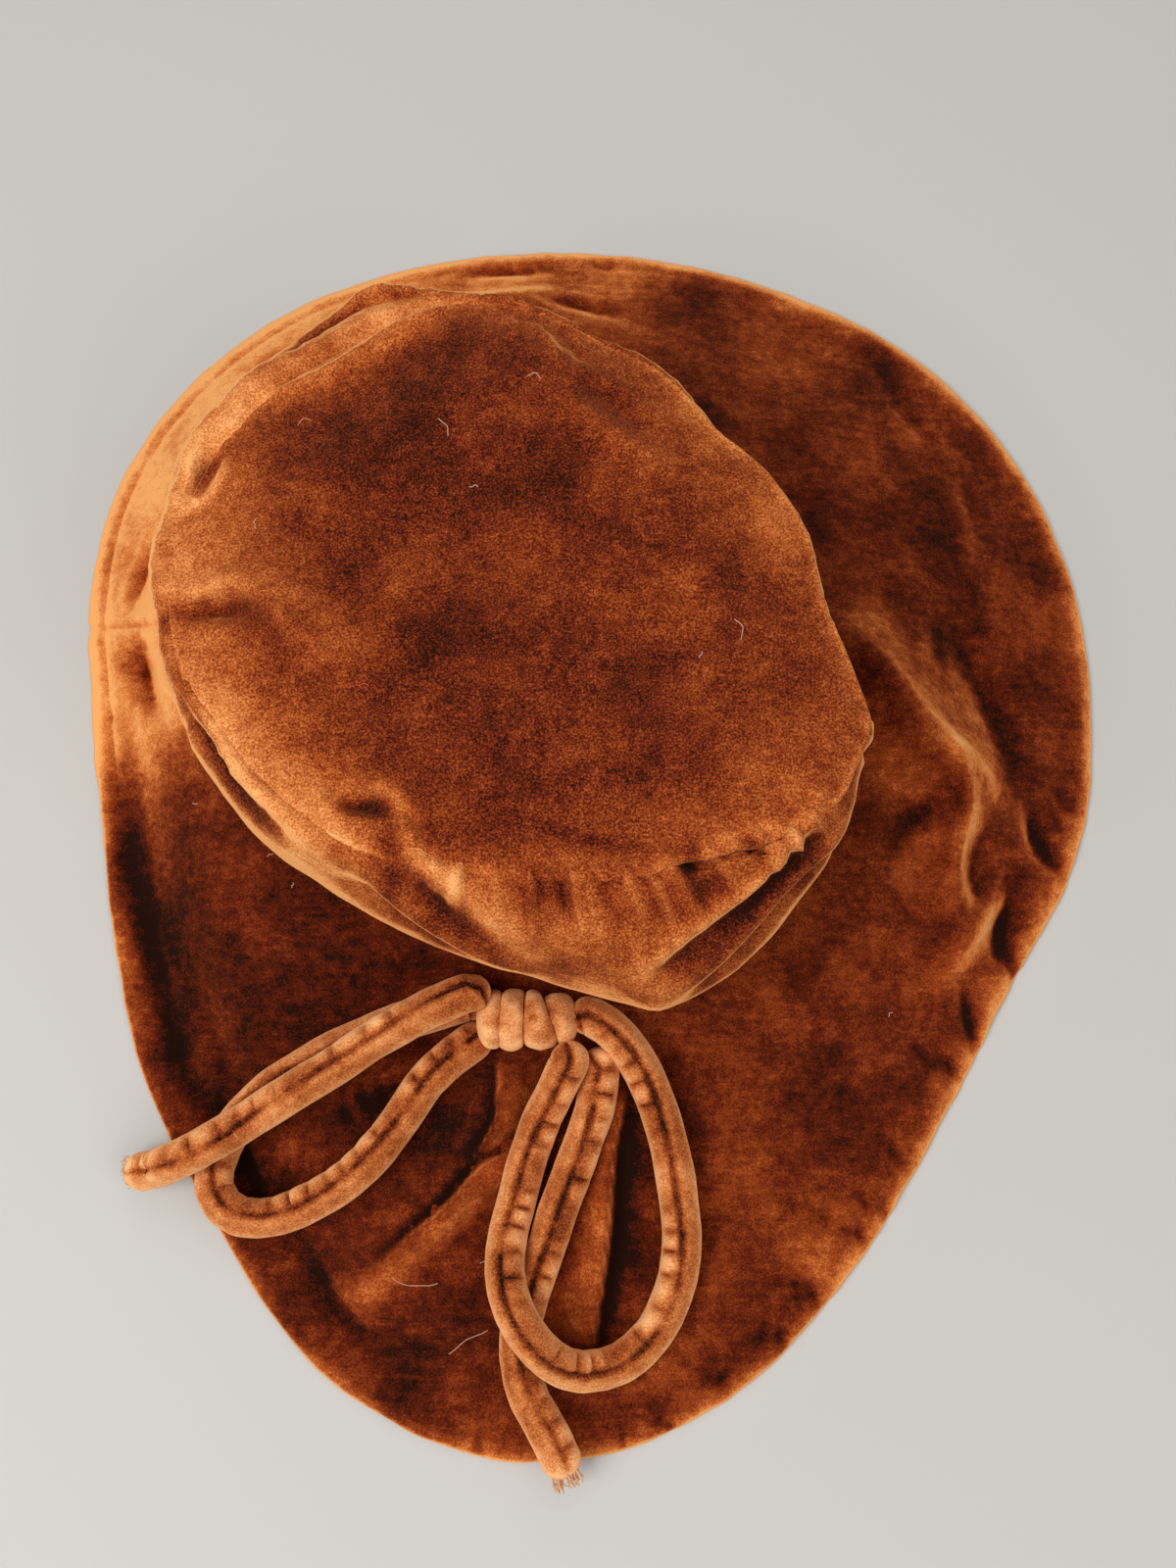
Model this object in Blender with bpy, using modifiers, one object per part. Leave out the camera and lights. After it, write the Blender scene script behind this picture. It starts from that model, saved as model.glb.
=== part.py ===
"""A velvet hat whose brim is cut far wider on one side, lying crown up on a table.

The crown is a slumped side band with an oval tip sewn on top. The brim is one wide double
layer that falls from the crown's foot to the table, pleated where a cord is tied in a bow.
Seen from above, +X is the front of the hat, -X its back with the closing seam, and -Y the
deep side of the brim with the bow. Sizes in the tables are millimetres, bearings degrees.
"""

import math
from collections import namedtuple

import bmesh
import bpy
import numpy as np
from mathutils import Vector

MM = 0.001

# Bearings and reaches are measured from the middle, a point inside the head opening.
MIDDLE = (-19.7, 27.9)

# The head opening is an oval for a 57 cm head, turned a little against the brim.
HEAD_CENTRE = (-20.0, 26.0)
HEAD_LENGTH = 200.0
HEAD_WIDTH = 159.0
HEAD_TURN = -28.4

BRIM_WALL = 3.0
CROWN_WALL = 2.0
GAP = 0.3

# The brim has a level margin under the crown's foot and a level hem on the table.
COLLAR_IN = 4.0
COLLAR_OUT = 1.0
HEM = 7.0

# The tip lies on the band's turned-in top edge, and rises a little towards its middle.
SEAM_LAP = 4.0
TIP_RISE = 5.0
TIP_ROUNDING = 30.0

# How far a fold takes to rise from the collar and to die out at the hem or at the tip's seam.
FOLD_RISE = 9.0
FOLD_END = 10.0

# One degree of bearing on the band, in millimetres.
BAND_DEGREE = 1.6

CORD = 11.4
CORD_STEP = 12.0
KNOT_CENTRE = (-17.0, -73.5)
KNOT_SIZE = (30.0, 18.0, 20.0)
KNOT_GROOVE = 0.1  # depth and half-width of the groove between wraps, as shares of the knot
KNOT_GROOVE_WIDTH = 0.16

BRIM_SPOKES = 94
BRIM_RINGS = 15
CROWN_SPOKES = 52
SIDE_RINGS = 10
TIP_RINGS = 7

# The brim by bearing: reach to the edge, height of its upper side at the crown's foot, and
# how the fall from there eases out, where 1 is straight and more is hollow.
BrimRow = namedtuple("BrimRow", "bearing reach root ease")
BRIM = [
    BrimRow(0, 183, 22, 1.1),
    BrimRow(15, 186, 23, 1.1),
    BrimRow(30, 187, 24, 1.1),
    BrimRow(45, 184, 25, 1.1),
    BrimRow(60, 177, 26, 1.1),
    BrimRow(75, 172, 27, 1.0),
    BrimRow(90, 169, 28, 1.0),
    BrimRow(105, 168, 29, 0.9),
    BrimRow(120, 168, 30, 0.9),
    BrimRow(135, 165, 31, 0.9),
    BrimRow(150, 159, 32, 0.9),
    BrimRow(165, 149, 31, 0.9),
    BrimRow(180, 140, 30, 0.9),
    BrimRow(195, 139, 28, 1.0),
    BrimRow(210, 147, 26, 1.1),
    BrimRow(225, 163, 23, 1.2),
    BrimRow(240, 182, 20, 1.3),
    BrimRow(255, 210, 18, 1.3),
    BrimRow(270, 225, 17, 1.3),
    BrimRow(285, 218, 18, 1.3),
    BrimRow(300, 198, 19, 1.3),
    BrimRow(315, 181, 20, 1.2),
    BrimRow(330, 175, 21, 1.2),
    BrimRow(345, 181, 22, 1.1),
]

# The crown by bearing: where the slumped band stands out furthest, and the tip's seam.
CrownRow = namedtuple("CrownRow", "bearing belly_reach belly_height seam_reach seam_height")
CROWN = [
    CrownRow(0, 91, 58, 84, 95),
    CrownRow(30, 84, 60, 79.5, 95),
    CrownRow(60, 88, 74, 83, 95),
    CrownRow(90, 101, 80, 92, 94),
    CrownRow(120, 112, 82, 90, 92),
    CrownRow(150, 110, 80, 93, 92),
    CrownRow(180, 99, 74, 90, 94),
    CrownRow(210, 91, 68, 83, 94),
    CrownRow(240, 86.5, 64, 75, 93),
    CrownRow(270, 93, 60, 71, 92),
    CrownRow(300, 112, 60, 81, 92),
    CrownRow(330, 105, 64, 99, 94),
]

# A fold bends from its start past a turning point to its end. Left and right are its
# widths on the two sides of that way, and a height below zero makes a valley.
Fold = namedtuple("Fold", "x0 y0 x1 y1 x2 y2 height left right")
BRIM_FOLDS = [
    # the large ridge that runs from the crown to the front, and the crest beyond its end
    Fold(76, 52, 96, 30, 124, -8, 10, 12, 9),
    Fold(113, 8, 121, -22, 111, -60, 7, 8, 7),
    Fold(124, -12, 121, -25, 118, -40, -5, 5, 5),
    Fold(131, -22, 130, -40, 125, -58, -4, 5, 5),
    Fold(140, -4, 146, -16, 149, -30, -3, 5, 5),
    Fold(116, 54, 128, 32, 134, 6, -4, 7, 7),
    # the pleats that fan out from under the knot
    Fold(-22, -84, -25, -100, -36, -112, 6, 5, 5),
    Fold(-18, -108, -38, -124, -72, -154, 6, 5, 9),
    Fold(12, -86, 7, -128, 2, -168, 5, 5, 9),
    Fold(-84, -103, -66, -92, -50, -86, 3, 5, 5),
    # the valley inside the back edge, then the fold at the far side and the back dimples
    Fold(-146, 30, -134, -66, -60, -170, -4, 9, 9),
    Fold(-56, 166, -34, 173, -8, 172, 4, 5, 5),
    Fold(-144, 84, -146, 70, -140, 58, -4, 5, 5),
    Fold(-143, 48, -142, 38, -134, 26, -4, 5, 5),
]

# On the band a fold's x is its bearing and its y the height; out is what it adds to the reach.
SIDE_FOLDS = [
    Fold(243, 88, 258, 82, 276, 62, 5, 6, 5),
    Fold(236, 82, 250, 72, 266, 56, -4, 6, 6),
    Fold(336, 88, 314, 84, 290, 68, 3, 5, 5),
    Fold(334, 76, 314, 72, 294, 62, -5, 5, 6),
    Fold(146, 90, 153, 86, 160, 88, -5, 6, 6),
    Fold(181, 64, 182, 76, 181, 90, -3, 5, 5),
    Fold(340, 84, 343, 70, 341, 50, -3, 6, 6),
]

TIP_FOLDS = [
    Fold(-68, -18, -56, -28, -42, -32, -5, 5, 5),
    Fold(-62, -12, -48, -18, -38, -28, 3, 6, 5),
    Fold(-110, 27, -98, 29, -84, 24, -3, 5, 5),
    Fold(-98, 40, -76, 26, -54, 8, 3, 8, 7),
    Fold(-66, 66, -30, 42, 14, 18, -2.5, 14, 14),
    Fold(-40, 112, 0, 100, 30, 72, 2, 9, 9),
    Fold(-96, 92, -66, 106, -40, 118, 2, 6, 8),
]

# The cords' routes, in order from the knot: x, y, and how far they lie above the brim.
Stop = namedtuple("Stop", "x y lift")
LOOP_LEFT = [
    Stop(-33.5, -67.5, 0.9),
    Stop(-45, -70.8, 0.9),
    Stop(-57, -74.5, 0.9),
    Stop(-68.5, -79, 0.9),
    Stop(-82, -85.5, 0.9),
    Stop(-93, -92.5, 0.9),
    Stop(-101, -99, 0.9),
    Stop(-106.5, -107, 0.9),
    Stop(-109.5, -116, 0.9),
    Stop(-108, -124, 0.9),
    Stop(-101.5, -129, 0.9),
    Stop(-91, -129, 0.9),
    Stop(-80.5, -125, 0.9),
    Stop(-70, -119, 0.9),
    Stop(-60.5, -110, 0.9),
    Stop(-53.5, -100.5, 0.9),
    Stop(-47, -91, 1.2),
    Stop(-40, -84.5, 1.6),
    Stop(-33.2, -79.6, 2),
]
TAIL_LEFT = [
    Stop(-33.2, -66.5, 13.2),
    Stop(-45.5, -71.6, 13.2),
    Stop(-59, -79, 13.2),
    Stop(-73.5, -88, 12.6),
    Stop(-88, -96.5, 12.4),
    Stop(-101, -104, 13),
    Stop(-109, -109, 13.4),
    Stop(-118, -113, 10),
    Stop(-127, -115.5, 4),
    Stop(-136, -117, 0.9),
]
LOOP_RIGHT = [
    Stop(-4.6, -85.8, 8.6),
    Stop(-8, -92, 5),
    Stop(-12.5, -101, 1.6),
    Stop(-17, -113, 0.9),
    Stop(-20.7, -127, 1.4),
    Stop(-23, -138, 6),
    Stop(-21.5, -151, 12.6),
    Stop(-15, -162.5, 12.6),
    Stop(-7, -169.5, 6),
    Stop(2, -171.5, 1.6),
    Stop(12, -168, 0.9),
    Stop(20.5, -159.5, 0.9),
    Stop(26, -147.5, 0.9),
    Stop(27.8, -135, 0.9),
    Stop(26.5, -121.5, 0.9),
    Stop(24, -108, 0.9),
    Stop(20, -95.5, 0.9),
    Stop(14.5, -84.5, 2.4),
    Stop(7.5, -76.5, 5),
    Stop(1.3, -72.5, 6),
]
TAIL_RIGHT = [
    Stop(4.2, -86.8, 0.9),
    Stop(3, -97, 0.9),
    Stop(-0.5, -107.5, 0.9),
    Stop(-5, -119, 0.9),
    Stop(-8.6, -129, 0.9),
    Stop(-12.2, -139.5, 0.9),
    Stop(-16.4, -151.5, 0.9),
    Stop(-19.2, -163.5, 0.9),
    Stop(-17.5, -175.5, 0.9),
    Stop(-12.7, -184.5, 0.9),
    Stop(-8, -192.5, 1.6),
    Stop(-5, -199.5, 3.4),
]


def hermite(start, leaving, end, arriving, u):
    """The cubic from start to end with the given slopes at its two ends."""
    return (
        start * (1 + 2 * u) * (1 - u) ** 2
        + leaving * u * (1 - u) ** 2
        + end * u * u * (3 - 2 * u)
        + arriving * u * u * (u - 1)
    )


def ease_in(low, high, value):
    """0 below low, 1 above high, and smooth between them."""
    u = np.clip((value - low) / (high - low), 0, 1)
    return u * u * (3 - 2 * u)


def around(rows, column, bearing):
    """One column of a table of bearings, as a smooth curve that closes on itself."""
    at = np.array([row.bearing for row in rows], float)
    value = np.array([getattr(row, column) for row in rows], float)
    at = np.concatenate([at[-2:] - 360, at, at[:2] + 360])
    value = np.concatenate([value[-2:], value, value[:2]])
    slope = np.gradient(value, at)
    bearing = np.asarray(bearing, float) % 360
    i = np.searchsorted(at, bearing, side="right") - 1
    step = at[i + 1] - at[i]
    u = (bearing - at[i]) / step
    return hermite(value[i], slope[i] * step, value[i + 1], slope[i + 1] * step, u)


def head_reach(bearing):
    """From the middle to the crown's foot, along an oval with a centre of its own."""
    turn = math.radians(HEAD_TURN)
    dx, dy = MIDDLE[0] - HEAD_CENTRE[0], MIDDLE[1] - HEAD_CENTRE[1]
    from_x = (dx * math.cos(turn) + dy * math.sin(turn)) * 2 / HEAD_LENGTH
    from_y = (dy * math.cos(turn) - dx * math.sin(turn)) * 2 / HEAD_WIDTH
    way = np.radians(bearing) - turn
    way_x, way_y = np.cos(way) * 2 / HEAD_LENGTH, np.sin(way) * 2 / HEAD_WIDTH
    a = way_x**2 + way_y**2
    b = from_x * way_x + from_y * way_y
    c = from_x**2 + from_y**2 - 1
    return (np.sqrt(b * b - a * c) - b) / a


def fold_relief(folds, x, y, x_scale=1.0):
    """What the folds add at each place: a rounded ridge or valley along each bent line."""
    total = np.zeros_like(x)
    x = x * x_scale
    u = np.linspace(0, 1, 25)
    for fold in folds:
        line_x = fold.x0 * (1 - u) ** 2 + 2 * fold.x1 * u * (1 - u) + fold.x2 * u * u
        line_x = line_x * x_scale
        line_y = fold.y0 * (1 - u) ** 2 + 2 * fold.y1 * u * (1 - u) + fold.y2 * u * u
        way_x, way_y = np.gradient(line_x), np.gradient(line_y)
        length = np.hypot(way_x, way_y)
        way_x, way_y = way_x / length, way_y / length
        off_x, off_y = x[..., None] - line_x, y[..., None] - line_y
        near = np.argmin(off_x**2 + off_y**2, axis=-1)
        off_x = np.take_along_axis(off_x, near[..., None], -1)[..., 0]
        off_y = np.take_along_axis(off_y, near[..., None], -1)[..., 0]
        across = way_x[near] * off_y - way_y[near] * off_x
        along = way_x[near] * off_x + way_y[near] * off_y
        width = np.where(across > 0, fold.left, fold.right)
        past_end = np.where((near == 0) | (near == len(u) - 1), along, 0)
        fade = np.sin(np.pi * np.clip(u[near], 0.02, 0.98)) ** 0.6
        total += fold.height * fade * np.exp(-(across**2 + past_end**2) / width**2)
    return total


def polar(x, y):
    """Bearing and reach from the middle."""
    off_x, off_y = x - MIDDLE[0], y - MIDDLE[1]
    return np.degrees(np.arctan2(off_y, off_x)), np.hypot(off_x, off_y)


def brim_top(x, y):
    """Height of the brim's upper side: level collar, fall with its folds, level hem."""
    bearing, reach = polar(x, y)
    start = head_reach(bearing) + COLLAR_OUT
    stop = around(BRIM, "reach", bearing) - HEM
    root, ease = around(BRIM, "root", bearing), around(BRIM, "ease", bearing)
    u = np.clip((reach - start) / (stop - start), 0, 1)
    fall = BRIM_WALL + (root - BRIM_WALL) * (1 - u) ** ease
    free = ease_in(start, start + FOLD_RISE, reach) * (1 - ease_in(stop - FOLD_END, stop, reach))
    return np.maximum(fall + free * fold_relief(BRIM_FOLDS, x, y), BRIM_WALL)


def side_place(bearing, up):
    """Reach and height of the band's outer side, from the foot at up 0 to the seam at 1."""
    foot = head_reach(bearing)
    foot_z = around(BRIM, "root", bearing) + GAP
    belly, belly_z = around(CROWN, "belly_reach", bearing), around(CROWN, "belly_height", bearing)
    seam, seam_z = around(CROWN, "seam_reach", bearing), around(CROWN, "seam_height", bearing)
    rise = belly_z - foot_z
    inward = 1.4 * (belly - seam) + 6  # how fast the rounded shoulder runs in to the seam
    low, high = np.clip(up * 2, 0, 1), np.clip(up * 2 - 1, 0, 1)
    level = 0 * up
    lower_reach = hermite(foot, level, belly, level, low)
    upper_reach = hermite(belly, level, seam, -inward, high)
    lower_z = hermite(foot_z, rise, belly_z, rise, low)
    upper_z = hermite(belly_z, np.maximum(rise, 1.2 * (seam_z - belly_z)), seam_z, level, high)
    reach = np.where(up < 0.5, lower_reach, upper_reach)
    height = np.where(up < 0.5, lower_z, upper_z)
    free = ease_in(0, 0.12, up) * (1 - ease_in(0.86, 1, up))
    return reach + free * fold_relief(SIDE_FOLDS, bearing % 360, height, BAND_DEGREE), height


def tip_under(bearing, share):
    """Reach and height of the tip's underside, at a share of the way out to its seam."""
    seam, seam_z = around(CROWN, "seam_reach", bearing), around(CROWN, "seam_height", bearing)
    reach = seam * share
    x = MIDDLE[0] + reach * np.cos(np.radians(bearing))
    y = MIDDLE[1] + reach * np.sin(np.radians(bearing))
    mean = np.mean([row.seam_height for row in CROWN])
    free = 1 - ease_in(seam - SEAM_LAP - FOLD_END, seam - SEAM_LAP, reach)
    height = mean + (seam_z - mean) * share**2 + free * fold_relief(TIP_FOLDS, x, y)
    rise = TIP_RISE * ease_in(0, TIP_ROUNDING, seam - SEAM_LAP - reach)
    return reach, height + GAP + rise


def material(name, colour, roughness):
    """Velvet in one colour, given as linear red, green and blue."""
    made = bpy.data.materials.new(name)
    made.use_nodes = True
    shader = made.node_tree.nodes["Principled BSDF"]
    shader.inputs["Base Color"].default_value = (*colour, 1)
    shader.inputs["Roughness"].default_value = roughness
    shader.inputs["Metallic"].default_value = 0
    return made


def add_object(name, data, collection, look):
    made = bpy.data.objects.new(name, data)
    collection.objects.link(made)
    data.materials.append(look)
    return made


def ring_mesh(rings, spokes, hole=1.0):
    """A flat ring of quads, from a line of points spun round: its radius less the hole's
    says how far out a point is, from 0 to 1. With no hole it closes to a disc."""
    mesh = bmesh.new()
    line = [mesh.verts.new((hole + i / rings, 0, 0)) for i in range(rings + 1)]
    edges = [mesh.edges.new(ends) for ends in zip(line, line[1:])]
    turn = {"cent": (0, 0, 0), "axis": (0, 0, 1), "angle": 2 * math.pi}
    bmesh.ops.spin(mesh, geom=line + edges, steps=spokes, use_merge=True, **turn)
    bmesh.ops.remove_doubles(mesh, verts=mesh.verts, dist=1e-5)
    bmesh.ops.recalc_face_normals(mesh, faces=mesh.faces)
    if sum(face.normal.z for face in mesh.faces) < 0:
        bmesh.ops.reverse_faces(mesh, faces=mesh.faces)
    return mesh


def shape(name, mesh, hole, place, wall, offset, collection, look):
    """Moves a flat ring to its real shape, and gives it the wall's thickness."""
    points = np.array([vert.co[:2] for vert in mesh.verts])
    out = np.clip(np.hypot(points[:, 0], points[:, 1]) - hole, 0, 1)
    bearing = np.degrees(np.arctan2(points[:, 1], points[:, 0])) % 360
    reach, height = place(bearing, out)
    x = MIDDLE[0] + reach * np.cos(np.radians(bearing))
    y = MIDDLE[1] + reach * np.sin(np.radians(bearing))
    z = brim_top(x, y) if height is None else height
    for vert, *spot in zip(mesh.verts, x, y, z):
        vert.co = Vector(spot) * MM
    data = bpy.data.meshes.new(name)
    mesh.to_mesh(data)
    mesh.free()
    data.shade_smooth()
    made = add_object(name, data, collection, look)
    solid = made.modifiers.new("wall", "SOLIDIFY")
    solid.thickness = wall * MM
    solid.offset = offset
    return made


def build_brim(collection, look):
    """Ring by ring: the two edges of the level collar, the fall, and the hem's two edges."""

    def place(bearing, out):
        ring = out * BRIM_RINGS
        foot, edge = head_reach(bearing), around(BRIM, "reach", bearing)
        start, stop = foot + COLLAR_OUT, edge - HEM
        reach = start + (stop - start) * (ring - 1) / (BRIM_RINGS - 2)
        reach = np.where(ring < 0.5, foot - COLLAR_IN, reach)
        return np.where(ring > BRIM_RINGS - 0.5, edge, reach), None

    shape("brim", ring_mesh(BRIM_RINGS, BRIM_SPOKES), 1, place, BRIM_WALL, -1, collection, look)


def build_side(collection, look):
    """The innermost ring is the edge turned in under the tip, and the outermost the foot."""

    def place(bearing, out):
        ring = out * SIDE_RINGS
        reach, height = side_place(bearing, np.clip((SIDE_RINGS - ring) / (SIDE_RINGS - 1), 0, 1))
        turned_in = around(CROWN, "seam_reach", bearing) - SEAM_LAP
        return np.where(ring < 0.5, turned_in, reach), height

    shape("crown_side", ring_mesh(SIDE_RINGS, CROWN_SPOKES), 1, place, CROWN_WALL, -1, collection, look)


def build_tip(collection, look):
    def place(bearing, out):
        seam = around(CROWN, "seam_reach", bearing)
        last = out > 1 - 0.5 / TIP_RINGS
        share = np.where(last, 1, out * TIP_RINGS / (TIP_RINGS - 1) * (1 - SEAM_LAP / seam))
        return tip_under(bearing, share)

    shape("crown_tip", ring_mesh(TIP_RINGS, CROWN_SPOKES, 0), 0, place, CROWN_WALL, 1, collection, look)


def build_knot(collection, look):
    """The knot is a short barrel lying along the crown's foot, with a groove between wraps."""
    mesh = bmesh.new()
    bmesh.ops.create_uvsphere(mesh, u_segments=20, v_segments=14, radius=0.5)
    rest = float(brim_top(np.array(KNOT_CENTRE[0]), np.array(KNOT_CENTRE[1])))
    centre = Vector((*KNOT_CENTRE, rest + KNOT_SIZE[2] / 2 + GAP))
    for vert in mesh.verts:
        along = vert.co.z * 2
        full = (1 - abs(along) ** 4) ** 0.25
        groove = 1 - KNOT_GROOVE * math.exp(-((along / KNOT_GROOVE_WIDTH) ** 2))
        thin = math.sqrt(max(1 - along * along, 1e-6))
        spot = Vector((vert.co.z, vert.co.y, -vert.co.x))
        spot.yz *= full * groove / thin
        vert.co = (Vector(a * b for a, b in zip(spot, KNOT_SIZE)) + centre) * MM
    data = bpy.data.meshes.new("tie_knot")
    mesh.to_mesh(data)
    mesh.free()
    data.shade_smooth()
    add_object("tie_knot", data, collection, look)


def lying_height(x, y):
    """Height of a cord's middle where it lies on the brim or, past the edge, on the table:
    the lowest at which a ball of the cord's size touches nothing."""
    radius = CORD / 2
    height = np.full(x.shape, radius)
    for off in (0, 0.4 * radius, 0.7 * radius, 0.95 * radius):
        for way in np.radians(np.arange(0, 360, 45)):
            at_x, at_y = x + off * np.cos(way), y + off * np.sin(way)
            bearing, reach = polar(at_x, at_y)
            on_brim = reach < around(BRIM, "reach", bearing)
            ground = np.where(on_brim, brim_top(at_x, at_y), 0)
            height = np.maximum(height, ground + math.sqrt(radius**2 - off**2))
    return height


def smooth_route(stops, spacing):
    """Points along a smooth curve through the stops, an even distance apart, with heights."""
    route = np.array([(stop.x, stop.y, stop.lift) for stop in stops])
    at = np.arange(len(route))
    slope = np.gradient(route, axis=0)
    fine = np.linspace(0, len(route) - 1, 20 * len(route))
    i = np.minimum(fine.astype(int), len(route) - 2)
    u = (fine - at[i])[:, None]
    line = hermite(route[i], slope[i], route[i + 1], slope[i + 1], u)
    line[:, 2] += lying_height(line[:, 0], line[:, 1])
    steps = np.linalg.norm(np.diff(line, axis=0), axis=1)
    run = np.concatenate([[0], np.cumsum(steps)])
    count = round(run[-1] / spacing) + 1
    want = np.linspace(0, run[-1], count)
    return np.stack([np.interp(want, run, line[:, axis]) for axis in range(3)], 1)


def build_cord(name, stops, collection, look):
    curve = bpy.data.curves.new(name, "CURVE")
    curve.dimensions = "3D"
    curve.bevel_depth = CORD / 2 * MM
    curve.bevel_resolution = 2
    curve.use_fill_caps = True
    points = smooth_route(stops, CORD_STEP)
    spline = curve.splines.new("POLY")
    spline.points.add(len(points) - 1)
    for point, spot in zip(spline.points, points):
        point.co = (*(spot * MM), 1)
    spline.use_smooth = True
    add_object(name, curve, collection, look)


def main():
    for old in list(bpy.data.objects):
        bpy.data.objects.remove(old)
    collection = bpy.data.collections.new("asymmetric_brim_hat")
    bpy.context.scene.collection.children.link(collection)
    build_brim(collection, material("brim velvet", (0.17, 0.035, 0.010), 0.9))
    build_side(collection, material("crown side velvet", (0.24, 0.055, 0.015), 0.9))
    build_tip(collection, material("crown tip velvet", (0.20, 0.042, 0.012), 0.9))
    tie = material("tie velvet", (0.36, 0.11, 0.035), 0.9)
    build_knot(collection, tie)
    build_cord("tie_loop_left", LOOP_LEFT, collection, tie)
    build_cord("tie_loop_right", LOOP_RIGHT, collection, tie)
    build_cord("tie_tail_left", TAIL_LEFT, collection, tie)
    build_cord("tie_tail_right", TAIL_RIGHT, collection, tie)


main()
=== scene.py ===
"""The looks of an asymmetric velvet hat that lies crown up, with a velvet cord tied in a bow.

Every cloth piece takes its place from the same tables as the solids: bearings in degrees round
a middle inside the head opening, and sizes in millimetres. Finer folds, puckers, gathers and
the crushed pile are added here. Seen from above, +X is the hat's front and -Y its deep side.
"""

import math
from collections import namedtuple

import bpy
import numpy as np
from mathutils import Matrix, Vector, noise


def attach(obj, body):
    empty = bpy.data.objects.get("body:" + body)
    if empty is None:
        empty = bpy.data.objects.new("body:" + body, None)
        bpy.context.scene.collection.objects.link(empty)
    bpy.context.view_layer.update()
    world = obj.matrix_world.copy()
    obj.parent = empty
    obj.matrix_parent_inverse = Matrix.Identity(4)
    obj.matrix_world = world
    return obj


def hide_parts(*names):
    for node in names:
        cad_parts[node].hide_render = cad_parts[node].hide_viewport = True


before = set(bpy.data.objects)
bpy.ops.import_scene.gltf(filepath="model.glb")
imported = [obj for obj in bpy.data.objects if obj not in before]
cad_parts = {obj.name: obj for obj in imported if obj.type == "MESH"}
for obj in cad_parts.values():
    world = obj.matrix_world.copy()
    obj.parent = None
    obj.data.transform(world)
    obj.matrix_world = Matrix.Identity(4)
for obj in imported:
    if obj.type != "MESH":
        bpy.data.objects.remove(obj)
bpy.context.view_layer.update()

MM = 0.001

# The same measures as in the solids: bearings and reaches start at the middle, and the head
# opening is an oval that is turned a little against the brim.
MIDDLE = (-19.7, 27.9)
HEAD_CENTRE = (-20.0, 26.0)
HEAD_LENGTH = 200.0
HEAD_WIDTH = 159.0
HEAD_TURN = -28.4
BRIM_WALL = 3.0
CROWN_WALL = 2.0
GAP = 0.3
COLLAR_IN = 4.0
COLLAR_OUT = 1.0
HEM = 7.0
SEAM_LAP = 4.0
TIP_RISE = 5.0
TIP_ROUNDING = 30.0
FOLD_RISE = 9.0
FOLD_END = 10.0
BAND_DEGREE = 1.6
CORD = 11.4
KNOT_CENTRE = (-17.0, -73.5)
KNOT_SIZE = (30.0, 18.0, 20.0)

# How the hem is puffed and rolled down at its edge, and the least height of its upper side.
PUFF = 1.2
ROLL = 4.5
ROLL_DROP = 1.0
THINNEST = 1.4

# The share of the band's section that is turned in under the tip.
TURNED = 0.04

# How light the colour is on each piece before the rest is added, from 0 to 1; the band's is set
# above the tip's as painted sheen, because the band slopes away from the eye. Then how much lighter
# the colour is painted on each millimetre that a crease stands up, and darker on each that it
# sinks: painted highlight on crests and painted shade in hollows.
BRIM_NAP = 0.21
BAND_TONE_AND_SHEEN = 0.29
TIP_NAP = 0.13
CORD_NAP = 0.46
KNOT_NAP = 0.76
PAINTED_SHADE_PER_MM = 0.08

# How far a cord's line goes on inside the knot, how long its small lumps are, how far apart the
# points of its line lie, how strongly its lumps are painted lighter as painted highlight and its
# grooves darker as painted shade, and the deepest groove that is painted darker.
INTO_KNOT = 6.0
LUMP = 7.5
CORD_STEP = 6.0
LUMP_TONE = 2.6
DARKEST_GROOVE = -0.15

# How wide a loose fibre is, and how far its middle lies above the cloth.
LINT_WIDTH = 0.24
LINT_ABOVE = 0.1

# How many vertices each piece has the long way round.
BRIM_SPOKES = 660
BAND_SPOKES = 580
TIP_SPOKES = 540

# The knot's turns from left to right: where each begins at the back, how far its beginning
# leans at the front, how full it is and how deep the gaps beside it are.
Wrap = namedtuple("Wrap", "back lean full depth")
WRAPS = [
    Wrap(-15.5, 0, 1.0, 0.16),
    Wrap(-7.4, -0.8, 1.0, 0.2),
    Wrap(-0.9, -0.3, 0.98, 0.36),
    Wrap(4.2, 4.6, 0.9, 0.34),
]

# The brim by bearing: reach to the edge, height at the crown's foot, and how the fall eases.
BrimRow = namedtuple("BrimRow", "bearing reach root ease")
BRIM = [
    BrimRow(*row)
    for row in [
        (0, 183, 22, 1.1), (15, 186, 23, 1.1), (30, 187, 24, 1.1), (45, 184, 25, 1.1),
        (60, 177, 26, 1.1), (75, 172, 27, 1.0), (90, 169, 28, 1.0), (105, 168, 29, 0.9),
        (120, 168, 30, 0.9), (135, 165, 31, 0.9), (150, 159, 32, 0.9), (165, 149, 31, 0.9),
        (180, 140, 30, 0.9), (195, 139, 28, 1.0), (210, 147, 26, 1.1), (225, 163, 23, 1.2),
        (240, 182, 20, 1.3), (255, 210, 18, 1.3), (270, 225, 17, 1.3), (285, 218, 18, 1.3),
        (300, 198, 19, 1.3), (315, 181, 20, 1.2), (330, 175, 21, 1.2), (345, 181, 22, 1.1),
    ]
]

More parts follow.
